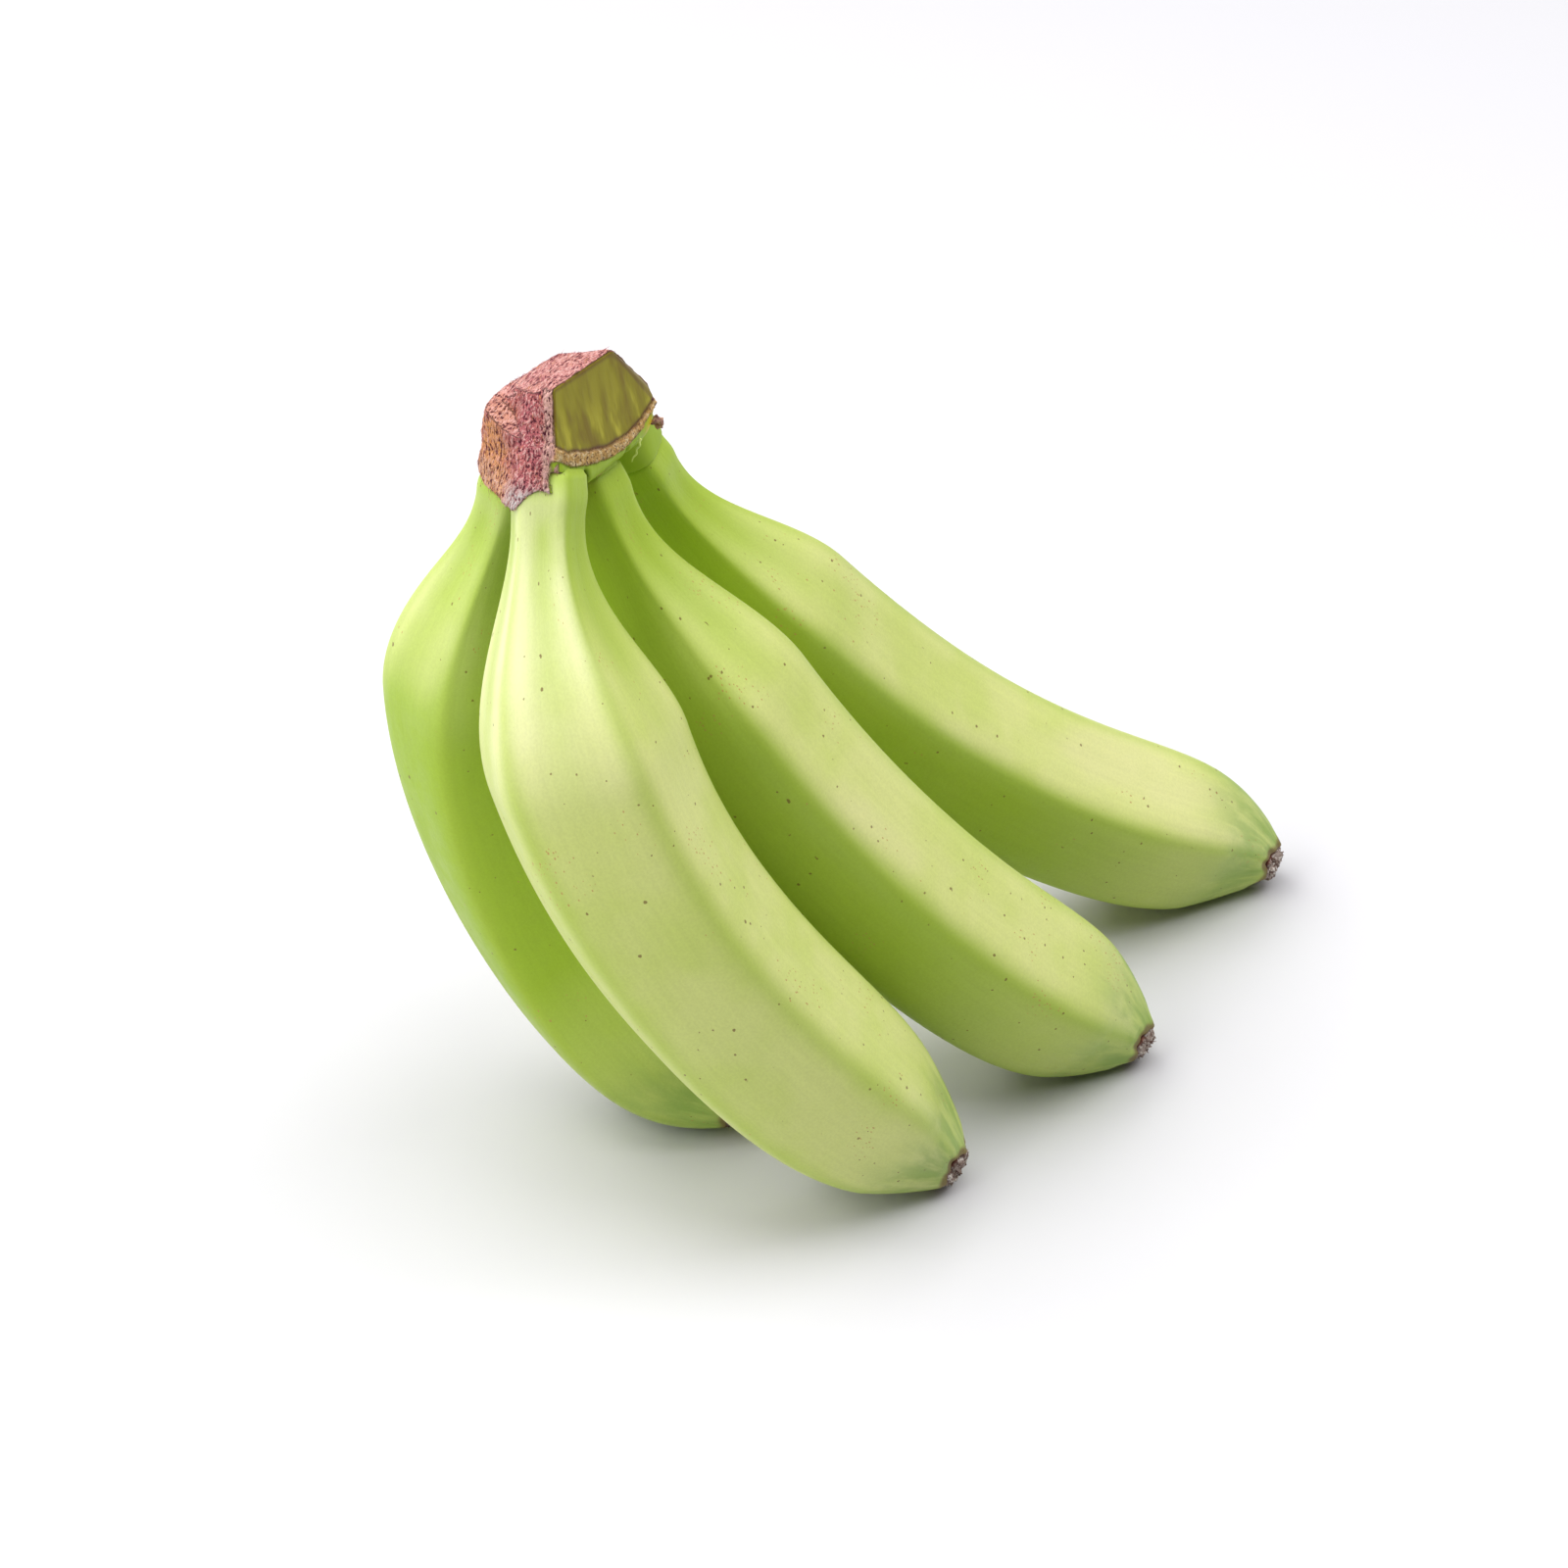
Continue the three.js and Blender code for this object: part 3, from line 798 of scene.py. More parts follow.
@dataclass
class Fruit:
    """One banana, swept along its bent middle line from its stalk to its blossom end."""

    name: str
    root: Triple  # start of the stalk at the crown
    azimuth: float  # its heading there, in degrees
    dip: float
    plane: float  # turn of the bending plane about that heading
    length: float
    neck: float  # radius of the stalk
    radius: float
    taper: float  # distance at which the body starts to narrow
    neck_bend: float  # bends are in degrees per 100 mm
    bend: tuple[float, float]
    side_bend: float
    ridge: float
    twist: float
    seed: float
    bloom: float = 0.0  # strength of the whitish bloom and its painted highlight
    hidden: float = 1.0  # strength of the painted shade, darker and greener, on the sides away from the sun
    growth: Growth = field(default_factory=Growth)

    def root_frame(self) -> tuple[Array, Array, Array, Array]:
        """Returns: the root, the heading there, the inside of the bend and the side."""
        dip, azimuth = math.radians(self.dip), math.radians(self.azimuth)
        t = np.array([math.cos(dip) * math.cos(azimuth), math.cos(dip) * math.sin(azimuth), -math.sin(dip)])
        inside = np.array(self.growth.inside)
        n = turned(unit(inside - np.dot(inside, t) * t), t, math.radians(self.plane))
        return np.array(self.root, float), t, n, np.cross(t, n)

    def bend_at(self, s: float) -> float:
        """Bend in the main plane.

        Args:
            s: Distance from the root.

        Returns:
            The bend in radians per millimetre.
        """
        g = self.growth
        body = float(smooth((s - g.neck_length) / (g.neck_bend_reach * g.shoulder)))
        start = g.neck_length + g.bend_settles
        along = min(max((s - start) / (self.length - start), 0), 1)
        return math.radians(mix(self.neck_bend, mix(self.bend[0], self.bend[1], along), body)) / 100

    def frames(self, distances: Array) -> tuple[Array, Array, Array, Array]:
        """Walks down the middle line.

        Args:
            distances: Rising distances from the root, in millimetres.

        Returns:
            Points, headings, inside and side directions, one row for each distance.
        """
        g = self.growth
        point, t, n, b = self.root_frame()
        heading = unit(np.array(g.tip_heading))
        s, rows = 0.0, []
        for target in distances:
            while target - s > NEAR:
                ds = min(WALK_STEP, target - s)
                crook = min(max((s + ds / 2 - self.length + g.crook_length) / g.crook_onset, 0), 1)
                if crook > 0:
                    axis = unit(np.cross(t, heading))
                    gap = math.acos(min(1.0, float(np.dot(t, heading))))
                    turn = min(math.radians(g.crook_bend) / 100 * crook * ds, gap)
                    t, n, b = (turned(v, axis, turn) for v in (t, n, b))
                up = self.bend_at(s + ds / 2) * ds / 2
                side = math.radians(self.side_bend) / 100 * ds / 2
                for half in range(2):
                    t, n = turned(t, b, up), turned(n, b, up)
                    t, b = turned(t, n, -side), turned(b, n, -side)
                    if half == 0:
                        point = point + t * ds
                s += ds
            rows.append((point, t, n, b))
        return tuple(np.array([row[k] for row in rows]) for k in range(4))

    def notch_angle(self) -> float:
        """Returns: where round the fruit its end lip is notched, in radians."""
        _, _, normal, binormal = (rows[0] for rows in self.frames(np.array([self.length])))
        side = np.array(self.growth.notched)
        return math.atan2(side @ binormal, side @ normal)

    def radius_at(self, s: Array) -> Array:
        """Mean radius of the section.

        Args:
            s: Distances from the root.

        Returns:
            The radius at each distance.
        """
        g = self.growth
        swell = smooth((s - g.neck_length) / g.shoulder)
        taper = np.clip((s - self.taper) / (self.length - self.taper), 0, 1)
        return mix(self.neck, self.radius, swell) * (1 - (1 - g.tip_ratio) * taper ** g.tip_power)

    def sharpness(self, s: Array) -> Array:
        """How sharp the ridges stand out: most on the stalk, least at the tip.

        Args:
            s: Distances from the root.

        Returns:
            One value for each distance.
        """
        g = self.growth
        body = smooth((s - g.neck_length) / g.shoulder)
        tip = np.clip((s / self.length - (1 - g.tip_share)) / g.tip_share, 0, 1)
        stalk, middle, end = g.sharpness
        return mix(mix(stalk, middle, body), end, tip)

    @staticmethod
    def pentagon_mean(sharpness: Array, samples: int = 60) -> Array:
        """Mean reach of a soft pentagon.

        Args:
            sharpness: Sharpness of its corners, one value for each pentagon.
            samples: Directions that the mean is taken over.

        Returns:
            The mean reach for each sharpness.
        """
        angle = directions(samples)[None]
        total = np.zeros((len(sharpness), samples))
        for face in range(RIDGES):
            facing = np.maximum(np.cos(angle - (face + 0.5) * FULL_TURN / RIDGES), 0)
            total = total + facing ** sharpness[:, None]
        return (total ** (-1 / sharpness[:, None])).mean(1)

    def stations(self) -> tuple[Array, Array, Array]:
        """Rows of the skin from the rolled foot of the stalk to the lip at the blossom end.

        Returns:
            Distances from the root, growths of the radius, and shifts along the heading.
        """
        g = self.growth
        u = np.linspace(0, 1, g.along)
        body = self.length * u * (1 + g.root_crowding * (1 - u))
        foot, lip = np.array(g.root_lip), np.array(g.end_lip)
        s = np.concatenate([np.zeros(len(foot)), body, np.full(len(lip), self.length)])
        extra = np.concatenate([foot[:, 1], np.zeros(g.along), lip[:, 1]])
        shift = np.concatenate([foot[:, 0], np.zeros(g.along), lip[:, 0]])
        return s, extra, shift

    def ridge_angle(self, s: Array) -> Array:
        """Angle of the front ridge from the inside of the bend, in radians."""
        return np.radians(self.ridge + self.twist * (s / self.length - 0.5))

    def near_neck(self, s: Array) -> Array:
        """1 on the shoulder below the stalk, 0 elsewhere."""
        return smooth(s, 2, 14) * (1 - smooth(s, 30, 75))

    def near_tip(self, s: Array) -> Array:
        """1 shortly before the blossom end, 0 elsewhere."""
        end = self.length
        return smooth(s, end - 30, end - 14) * (1 - smooth(s, end - 6, end))

    def relief(self, s: Array, turn: Array) -> Array:
        """How far the skin stands out: soft waves, ridges, dips of the faces, rings of the stalk.

        Args:
            s: Distances from the root, one a row.
            turn: Angles from the front ridge.

        Returns:
            One value for each point, in millimetres.
        """
        g = self.growth
        from_neck, from_tip = self.near_neck(s), self.near_tip(s)
        body = smooth(s, 5, 40) * (1 - smooth(s, self.length - 25, self.length - 5))
        wave = np.sin(2 * turn + s / 31 + self.seed) * np.sin(s / 17 + 2 * self.seed)
        wave = wave + 0.6 * np.sin(3 * turn - s / 13 + 3 * self.seed)
        edge = bell(beside_ridge(turn), g.edge_width)
        relief = g.wave_height * wave * body + g.edge_height * edge * (body + 0.6 * from_neck)
        flat, at_neck, at_tip = g.face_dips
        relief = relief - middle_of_face(turn) * (flat + at_neck * from_neck + at_tip * from_tip)
        ring, place, width = g.stalk_ring
        depth, reach = g.root_groove
        return relief + ring * bell(s - place, width) - depth * bell(s, reach)

    def ragged_end(self, s: Array, angle: Array) -> Array:
        """How far the notched lip at the blossom end stands forward.

        Args:
            s: Distances from the root.
            angle: Angles round the fruit, in radians.

        Returns:
            One value in millimetres for each point.
        """
        g = self.growth
        ragged = sum(high * np.sin(number * angle + shift * self.seed) for high, number, shift in g.lip_waves)
        beside = nearest_turn(angle - self.notch_angle())
        deep, half_width = g.notch
        side_deep, place, side_width = g.side_notches
        ragged = ragged - deep * bell(beside, half_width)
        ragged = ragged - side_deep * bell(np.abs(beside) - place, side_width)
        return ragged * smooth(s, self.length - 4, self.length)

    def spine(self) -> Mesh:
        """Returns: the middle line as points that carry the frame and the sizes of each row."""
        s, extra, shift = self.stations()
        centre, t, n, b = self.frames(s)
        sharp = self.sharpness(s)
        line = bpy.data.meshes.new(f"spine_{self.name}")
        line.from_pydata(((centre - ORIGIN) * MM).tolist(), [(i, i + 1) for i in range(len(s) - 1)], [])
        holder = bpy.data.objects.new(line.name, line)
        add_values(
            holder, centre=(centre + shift[:, None] * t - ORIGIN) * MM, inside=n, side=b, sharp=sharp,
            reach=self.radius_at(s) / self.pentagon_mean(sharp) * MM, extra=extra * MM,
            ridge=self.ridge_angle(s))
        bpy.data.objects.remove(holder)
        return line

    def build(self, peel: Material, sweep: SweptSkin) -> Piece:
        """Makes the peel of this fruit: sweeps it, then adds its relief and stored values.

        Args:
            peel: Finish of the skin.
            sweep: Tree that sweeps the section along the spine.

        Returns:
            The piece, which stands for the fruit's solid.
        """
        distances, extra, shift = self.stations()
        rows, columns = len(distances), self.growth.around
        values = {"Around": columns, "Stations": rows, "Material": peel}
        piece = sweep.grow(f"fruit_{self.name}", self.spine(), values)
        points = (read(piece.data, "co") / MM + ORIGIN).reshape(rows, columns, 3)
        _, heading, _, _ = self.frames(distances)
        s, angle = distances[:, None], directions(columns)[None]
        turn = angle - self.ridge_angle(s)
        outward = unit(points - points.mean(1, keepdims=True))
        points = points + outward * self.relief(s, turn)[..., None]
        points = points + heading[:, None] * self.ragged_end(s, angle)[..., None]
        points[..., 2] = np.maximum(points[..., 2], GROUND_GAP)
        move_points(piece.data, points)
        turned_out(piece.data)
        self.store(piece, s, angle, shift[:, None], extra[:, None])
        settle(piece, (f"banana_{self.name}",))
        return piece

    def store(self, piece: Piece, s: Array, angle: Array, shift: Array, extra: Array) -> None:
        """Stores what the finish reads.

        Args:
            piece: The swept peel, with its relief.
            s: Distances from the root, one a row.
            angle: Angles round the fruit.
            shift: Shifts of the rows along the heading.
            extra: Growths of the rows' radius.
        """
        g, end = self.growth, self.length
        turn = angle - self.ridge_angle(s)

        def spread(values: Array) -> Array:
            """One value for each point of the peel."""
            return np.broadcast_to(values, turn.shape).ravel()

        skin = np.stack(np.broadcast_arrays(
            self.radius * np.cos(angle), self.radius * np.sin(angle),
            s + shift + g.grain_shift * self.seed), -1)
        # painted shade, darker and greener, in the face hollows near stalk and tip and at the stalk's foot
        hollow = middle_of_face(turn) * (0.8 * self.near_neck(s) + 0.15 * self.near_tip(s))
        hollow = hollow + 0.45 * (1 - smooth(s, 0, 22))
        normals = read(piece.data, "normal")
        shoulder = smooth(s, -2, 8) * (1 - smooth(s, 30, 66))
        # painted shade on the sides turned from the sun, fading towards the tip
        fade = 1 - 0.55 * smooth(s, 0.6 * end, 0.95 * end)
        away = 1 - smooth(normals @ unit(np.array(g.sun)), -0.35, 0.25)
        border = smooth(s + 0.35 * np.sin(9 * angle), end - 1.5, end - 0.5)
        add_values(
            piece, skin=skin.reshape(-1, 3) * MM,
            crest=spread(bell(beside_ridge(turn), g.crest_width) * smooth(s, 0, 25)),
            hollow=spread(np.clip(hollow, 0, 1)),
            tip=spread(smooth(s, end - 34, end - 2)),
            # whitish bloom with a painted highlight, on shoulder faces turned to the left light
            bloom=spread(self.bloom * shoulder) * smooth(normals @ unit(np.array(g.bloomed)), -0.05, 0.8),
            hidden=self.hidden * away * spread(fade),
            stalk=spread(1 - smooth(s, 12, 48)),
            scar=spread(np.where(extra < -0.01, (s > 1) * 1.0, border * 0.8)))


@dataclass
class BlossomEnd:
    """Withered flower remains in the lip of one fruit: a crinkled plug strewn with dry flakes."""

    fruit: Fruit
    length: float = 1.7
    sunk: float = 1.1
    inset: float = 0.95
    around: int = 110
    rings: int = 16
    clearance: float = 0.4
    flake_length: float = 0.55
    flake_width: float = 0.2
    flake_density: float = 2.0e5  # to a square metre
    lean: float = 0.35  # towards the notch of the lip
    roundness: float = 0.45  # power that rounds the plug's edge

    def build(self, dry: Material, strew: Slivers) -> None:
        """Makes the plug and its flakes, which stand for the plug's solid.

        Args:
            dry: Finish of the remains.
            strew: Tree that strews slivers.
        """
        f = self.fruit
        centre, t, n, b = (rows[0] for rows in f.frames(np.array([f.length])))
        base = float(f.radius_at(np.array(f.length))) - self.inset
        angle = directions(self.around)[None]
        up = np.linspace(0, math.pi / 2, self.rings)[:, None]
        lean = 1 - self.lean * np.cos(nearest_turn(angle - f.notch_angle()))
        reach = base * np.cos(up * 0.999) ** self.roundness * (1 + 0.05 * np.sin(5 * angle + f.seed))
        height = -self.sunk + (self.length + self.sunk) * np.sin(up) * (0.72 + 0.28 * lean)
        points = centre + height[..., None] * t + reach[..., None] * (
            np.cos(angle)[..., None] * n + np.sin(angle)[..., None] * b)
        flat = points.reshape(-1, 3)
        away = unit(flat - centre + t * 2)
        rough = lumps(flat, 1.5, f.seed, 3) * 0.7 + lumps(flat, 0.6, f.seed + 5, 2) * 0.2
        top = centre + t * float(height[-1].mean())
        flat = np.vstack([flat + away * rough[:, None], top])
        flat[:, 2] = np.maximum(flat[:, 2], self.clearance)
        last = len(flat) - 1 - self.around
        faces = grid_faces(self.rings, self.around)
        faces += [(len(flat) - 1, last + i, last + (i + 1) % self.around) for i in range(self.around)]
        faces += [tuple(range(self.around))[::-1]]
        piece = new_mesh(f"blossom_{f.name}", flat, faces)
        level = np.append((height.ravel() + self.sunk) / (self.length + self.sunk), 1.0)
        stray = np.stack([lumps(flat, 1.0, f.seed + k) for k in (9, 17, 25)], -1)
        swirl = 0.35 * np.vstack([away, t]) + stray
        cover = smooth(level, 0.35, 0.6) * smooth(flat[:, 2], 1.2, 1.6)
        add_values(piece, height=level, cover=cover, grain=unit(swirl))
        turned_out(piece.data)
        piece.data.materials.append(dry)
        values = {"Density": self.flake_density, "Length": self.flake_length * MM,
                  "Width": self.flake_width * MM, "Seed": int(10 * f.seed), "Material": dry}
        flakes = strew.grow(f"blossom_flakes_{f.name}", piece.data.copy(), values)
        for part in (piece, flakes):
            settle(part, (f"blossom_end_{f.name}",))


# ---- crown -------------------------------------------------------------------------------


@dataclass
class CrownPlaces:
    """Where each point of the crown lies, in millimetres."""

    depth: Array  # in front of the plane of the cut
    along: Array  # along the foot of the cut
    height: Array  # above the lower border of the cut
    below: Array  # above the lower border of the rim
    outside: Array  # outside the uncut cushion
    row: Array  # along the row of stalks
    reach: Array  # towards the side that the flap looks to
    ragged: Array  # noise that frays the borders


@dataclass
class CrownZones:
    """How far each point of the crown belongs to each kind of surface, from 0 to 1."""

    cut: Array
    rim: Array
    collar: Array
    flap: Array
    bark: Array


@dataclass
class Crown:
    """Cushion that the stalks grow from, with its knife cut, corky rim and hanging bark."""

    corner: Triple = (-41.7, -17.4, 168.7)
    top_corner: Triple = (-42.3, -13.1, 179.2)
    apex: Triple = (-32.0, 6.8, 175.2)
    far_corner: Triple = (-24.4, 14.7, 158.9)
    back_corner: Triple = (-50.0, 8.2, 167.8)
    back_ridge: Triple = (-42.0, 7.0, 174.4)
    lobes: tuple = (((-45.2, -4.6, 163.0), (11.4, 13.0, 11.2)), ((-32.0, 13.0, 158.0), (7.0, 8.0, 7.0)))
    inner_cut: Triple = (0.885, -0.417, 0.208)
    flap_facing: float = 222.0  # azimuth the flap looks towards
    flap_edge: tuple = ((-62, 158), (-38, 157.3), (-31, 155), (-25, 156.2), (-19, 156.5), (-17.4, 158.3),
                        (-16.2, 160.9), (-15.3, 161.3), (-12.9, 160.4))
    flap_end: float = -12.0
    cut_border: tuple = ((-2.0, 1.5), (0, 0.2), (3.2, -2.7), (9.8, -6.0), (16.7, -8.9), (22.2, -10.3),
                         (28.0, -10.8), (36.1, -9.9))
    rim_width: tuple = ((-2.0, 2.7), (5.0, 2.9), (16.0, 2.4), (26.0, 1.9), (34.0, 1.0))
    creases: tuple[float, ...] = (8.0, 23.7)
    crease_depth: float = 0.7
    crease_width: float = 0.7
    bark_relief: tuple[float, float] = (0.13, 0.22)  # of fine strands and broad lumps
    cork_relief: tuple[float, float] = (0.3, 0.35)  # lumps, and how far the rim stands proud
    collar_relief: float = 0.1
    cut_sunk: float = 0.15
    root_reach: tuple[float, float] = (6.5, 9.5)  # from a root: evening out sets in, is full
    dry_spot: Triple = (-25.0, 12.6, 154.6)
    voxel: float = 0.34
    stub_rounds: int = 70

    def hull_planes(self) -> tuple[Array, Array]:
        """Returns: normals and offsets of the planes round the uncut cushion."""
        bm = bmesh.new()
        for centre, half in self.lobes:
            ball = bmesh.ops.create_uvsphere(bm, u_segments=24, v_segments=16, radius=1.0)
            place = Matrix.Translation(centre) @ Matrix.Diagonal((*half, 1.0))
            bmesh.ops.transform(bm, matrix=place, verts=ball["verts"])
        for corner in (self.corner, self.top_corner, self.apex,
                       self.far_corner, self.back_corner, self.back_ridge):
            bm.verts.new(corner)
        hull = bmesh.ops.convex_hull(bm, input=bm.verts)
        inner = {item for item in hull["geom_interior"] if isinstance(item, bmesh.types.BMVert)}
        bmesh.ops.delete(bm, geom=list(inner), context="VERTS")
        kept = {item for item in hull["geom"] if item.is_valid and isinstance(item, bmesh.types.BMFace)}
        spare = [f for f in bm.faces if f not in kept]
        bmesh.ops.delete(bm, geom=spare, context="FACES_ONLY")
        bmesh.ops.recalc_face_normals(bm, faces=bm.faces)
        bm.normal_update()
        normals = np.array([f.normal for f in bm.faces])
        offsets = np.array([f.normal.dot(f.calc_center_median()) for f in bm.faces])
        bm.free()
        return normals, offsets

    def fine_copy(self) -> Piece:
        """Returns: a finely and evenly divided copy of the crown's solid."""
        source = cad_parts["crown"]
        mesh = source.data.copy()
        bm = bmesh.new()
        bm.from_mesh(mesh)
        bmesh.ops.remove_doubles(bm, verts=bm.verts, dist=1e-6)
        bm.to_mesh(mesh)
        bm.free()
        mesh.materials.clear()
        piece = bpy.data.objects.new("crown_fine", mesh)
        bpy.context.scene.collection.objects.link(piece)
        remesh = piece.modifiers.new("even", "REMESH")
        remesh.mode = "VOXEL"
        remesh.voxel_size = self.voxel * MM
        depsgraph = bpy.context.evaluated_depsgraph_get()
        fine = bpy.data.meshes.new_from_object(piece.evaluated_get(depsgraph))
        piece.modifiers.clear()
        piece.data = fine
        bpy.data.meshes.remove(mesh)
        return piece

    @staticmethod
    def relaxed(mesh: Mesh, points: Array, weight: Array, rounds: int) -> Array:
        """Evens out the points along the mesh's edges.

        Args:
            mesh: Mesh whose edges join the points.
            points: Points to even out.
            weight: How far each point follows its neighbours, from 0 to 1.
            rounds: Number of passes.

        Returns:
            The moved points.
        """
        edges = np.empty(len(mesh.edges) * 2, int)
        mesh.edges.foreach_get("vertices", edges)
        a, b = edges.reshape(-1, 2).T
        count = np.bincount(a, minlength=len(points)) + np.bincount(b, minlength=len(points))
        for _ in range(rounds):
            total = np.zeros_like(points)
            np.add.at(total, a, points[b])
            np.add.at(total, b, points[a])
            points = points + weight[:, None] * 0.6 * (total / count[:, None] - points)
        return points

    def build(self, finish: Material) -> Piece:
        """Makes the crown with its rough bark and its zones.

        Args:
            finish: Finish of all its surfaces.

        Returns:
            The piece, which stands for the crown's solid.
        """
        piece = self.fine_copy()
        piece.name = "crown_cushion"
        mesh = piece.data
        points, normals = read(mesh, "co") / MM + ORIGIN, read(mesh, "normal")
        at = self.places(points)
        on = self.zones(at, points, normals)
        points = self.relaxed(mesh, points, np.clip(on.bark + on.collar * 0.8 + 0.15, 0, 1), 5)
        from_root = np.min([np.linalg.norm(points - np.array(f.root), axis=1) for f in FRUITS], axis=0)
        points = self.relaxed(mesh, points, on.collar * smooth(from_root, *self.root_reach), self.stub_rounds)
        top = smooth(normals[:, 2], 0.72, 0.86) * on.bark * smooth(points[:, 2], 168, 170)
        ridge_way = unit(np.array(self.apex) - np.array(self.top_corner))
        cross_way = unit(np.cross(ridge_way, [0, 0, 1.0]))
        laid = np.stack([points @ cross_way, points @ np.cross(cross_way, ridge_way), points @ ridge_way], -1)
        strand = np.where(top[:, None] > 0.5, laid, points)
        # creases between stalks: dented, and darkened with painted shade
        crease = sum(bell(at.along + 0.15 * at.below - place, self.crease_width) for place in self.creases)
        crease = crease * smooth(at.depth, -5, -3) * smooth(at.below, -0.2, -1.6)
        points = points + normals * self.lift(on, points, strand, crease)[:, None]
        move_points(mesh, points)
        mesh.polygons.foreach_set("use_smooth", [True] * len(mesh.polygons))
        self.store(piece, points, at, on)
        fall = np.where(top[:, None] > 0.5, ridge_way, np.array([0.1, 0.1, -1.0]))
        flat_grain = fall - normals * (fall * normals).sum(1, keepdims=True)
        strip = smooth(at.depth + 0.6 * at.ragged, -3.4, -2.6) * on.bark * (1 - 0.7 * top)
        add_values(piece, strand=strand * MM, crease=np.clip(crease, 0, 1), top=top, strip=strip,
                   grain=unit(flat_grain + normals * 0.04))
        mesh.materials.clear()
        mesh.materials.append(finish)
        settle(piece, ("crown",))
        return piece

    def places(self, points: Array) -> CrownPlaces:
        """Finds where points lie on the crown.

        Args:
            points: Points in millimetres, one a row.

        Returns:
            Their distances from the parts of the crown.
        """
        cut_normal = unit(np.array(self.inner_cut))
        across = unit(np.cross([0, 0, 1.0], cut_normal))
        local = points - np.array(self.corner)
        along, up = local @ across, local @ np.cross(cut_normal, across)
        border, width = np.array(self.cut_border), np.array(self.rim_width)
        height = up - np.interp(along, border[:, 0], border[:, 1]) + 0.25 * lumps(points, 2.2, 4.0, 2)
        plane_normals, offsets = self.hull_planes()
        facing = math.radians(self.flap_facing)
        out = np.array([math.cos(facing), math.sin(facing), 0.0])
        return CrownPlaces(
            depth=local @ cut_normal, along=along, height=height,
            below=height + np.interp(along, width[:, 0], width[:, 1]),
            outside=(points @ plane_normals.T - offsets[None]).max(1),
            row=points @ np.cross([0, 0, 1.0], out), reach=points @ out,
            ragged=0.5 * lumps(points, 1.6, 8.0, 2))

    def zones(self, at: CrownPlaces, points: Array, normals: Array) -> CrownZones:
        """Shares the crown out between cut, rim, collar, hanging flap and bark.

        Args:
            at: Where the points lie.
            points: The points, one a row.
            normals: Their normals.

        Returns:
            The share of each kind of surface at each point.
        """
        tilt = normals @ unit(np.array(self.inner_cut))
        on_cut = smooth(at.depth, -0.6, -0.25) * smooth(tilt, 0.22, 0.32)
        on_cut = np.maximum(on_cut, smooth(at.depth, -2.0, -1.2) * smooth(tilt, 0.5, 0.62))
        edge = np.array(self.flap_edge, float)
        over_edge = points[:, 2] - np.interp(at.row, edge[:, 0], edge[:, 1]) + at.ragged
        flap = smooth(at.row + at.ragged, self.flap_end, self.flap_end - 0.5) * smooth(at.reach, 36, 38)
        flap = flap * smooth(over_edge, -1.5, -0.8)
        above_border, above_rim = smooth(at.height, -0.35, 0.25), smooth(at.below, -0.3, 0.3)
        collar = smooth(at.outside, 0.95, 1.25) * (1 - flap) * (1 - on_cut)
        collar = np.maximum(collar, on_cut * (1 - above_rim))
        low = smooth(points[:, 2], 161.5, 160.0) * smooth(at.row, -14, -12) * (1 - on_cut)
        collar = np.maximum(collar, low)
        under = smooth(at.below, 0.2, -0.3) * smooth(at.depth, -4.5, -3.0) * (1 - flap)
        collar = np.maximum(collar, under)
        rim = on_cut * (1 - above_border) * above_rim * (1 - under)
        cut = on_cut * above_border * (1 - under)
        return CrownZones(cut, rim, collar, flap, np.clip(1 - cut - rim - collar, 0, 1))

    def lift(self, on: CrownZones, points: Array, strand: Array, crease: Array) -> Array:
        """How far each point moves out of the smooth crown, in millimetres.

        Args:
            on: Kinds of surface.
            points: The evened points.
            strand: The same points along the strands of the bark.
            crease: Depth of the creases between stalks, from 0 to 1.

        Returns:
            One value for each point.
        """
        fine, broad = self.bark_relief
        rough = lumps(strand * [1, 1, 0.45], 0.75, 2.0, 2) * fine + lumps(points, 4.5, 7.0, 2) * broad
        uneven, proud = self.cork_relief
        cork = lumps(points, 0.8, 5.0, 3) * uneven + proud
        skin = lumps(points, 6.0, 9.0, 1) * self.collar_relief - self.crease_depth * crease
        return rough * on.bark + cork * on.rim + skin * on.collar - self.cut_sunk * on.cut

    def store(self, piece: Piece, points: Array, at: CrownPlaces, on: CrownZones) -> None:
        """Stores the zones and the blends between their colours.

        Args:
            piece: The crown.
            points: Its final points.
            at: Where they lie.
            on: Kinds of surface.
        """
        z = points[:, 2]
        rim_line = bell(at.height - 0.3, 0.45) * on.cut
        frame_line = smooth(at.outside, -0.08, 0.05) * on.cut
        warm = smooth(at.row + 0.4 * (z - 165), -21, -28) * (1 - smooth(z, 169, 173)) + 0.12
        ash = smooth(z, 163, 158.5) * on.flap * (0.25 + smooth(at.row, -24, -18))
        add_values(piece, **{Zone.CUT.value: on.cut, Zone.RIM.value: on.rim, Zone.COLLAR.value: on.collar})
        add_values(
            piece, low=(1 - 0.8 * smooth(at.height, 1.0, 12.0)) * on.cut,
            border=np.clip(rim_line * 0.8 + frame_line * 0.5, 0, 1), warm=warm, ash=np.clip(ash, 0, 1),
            dry=bell(np.linalg.norm(points - np.array(self.dry_spot), axis=1), 2.6),
            cover=on.bark * (1 - 0.6 * smooth(at.depth, -3.4, -2.6)))

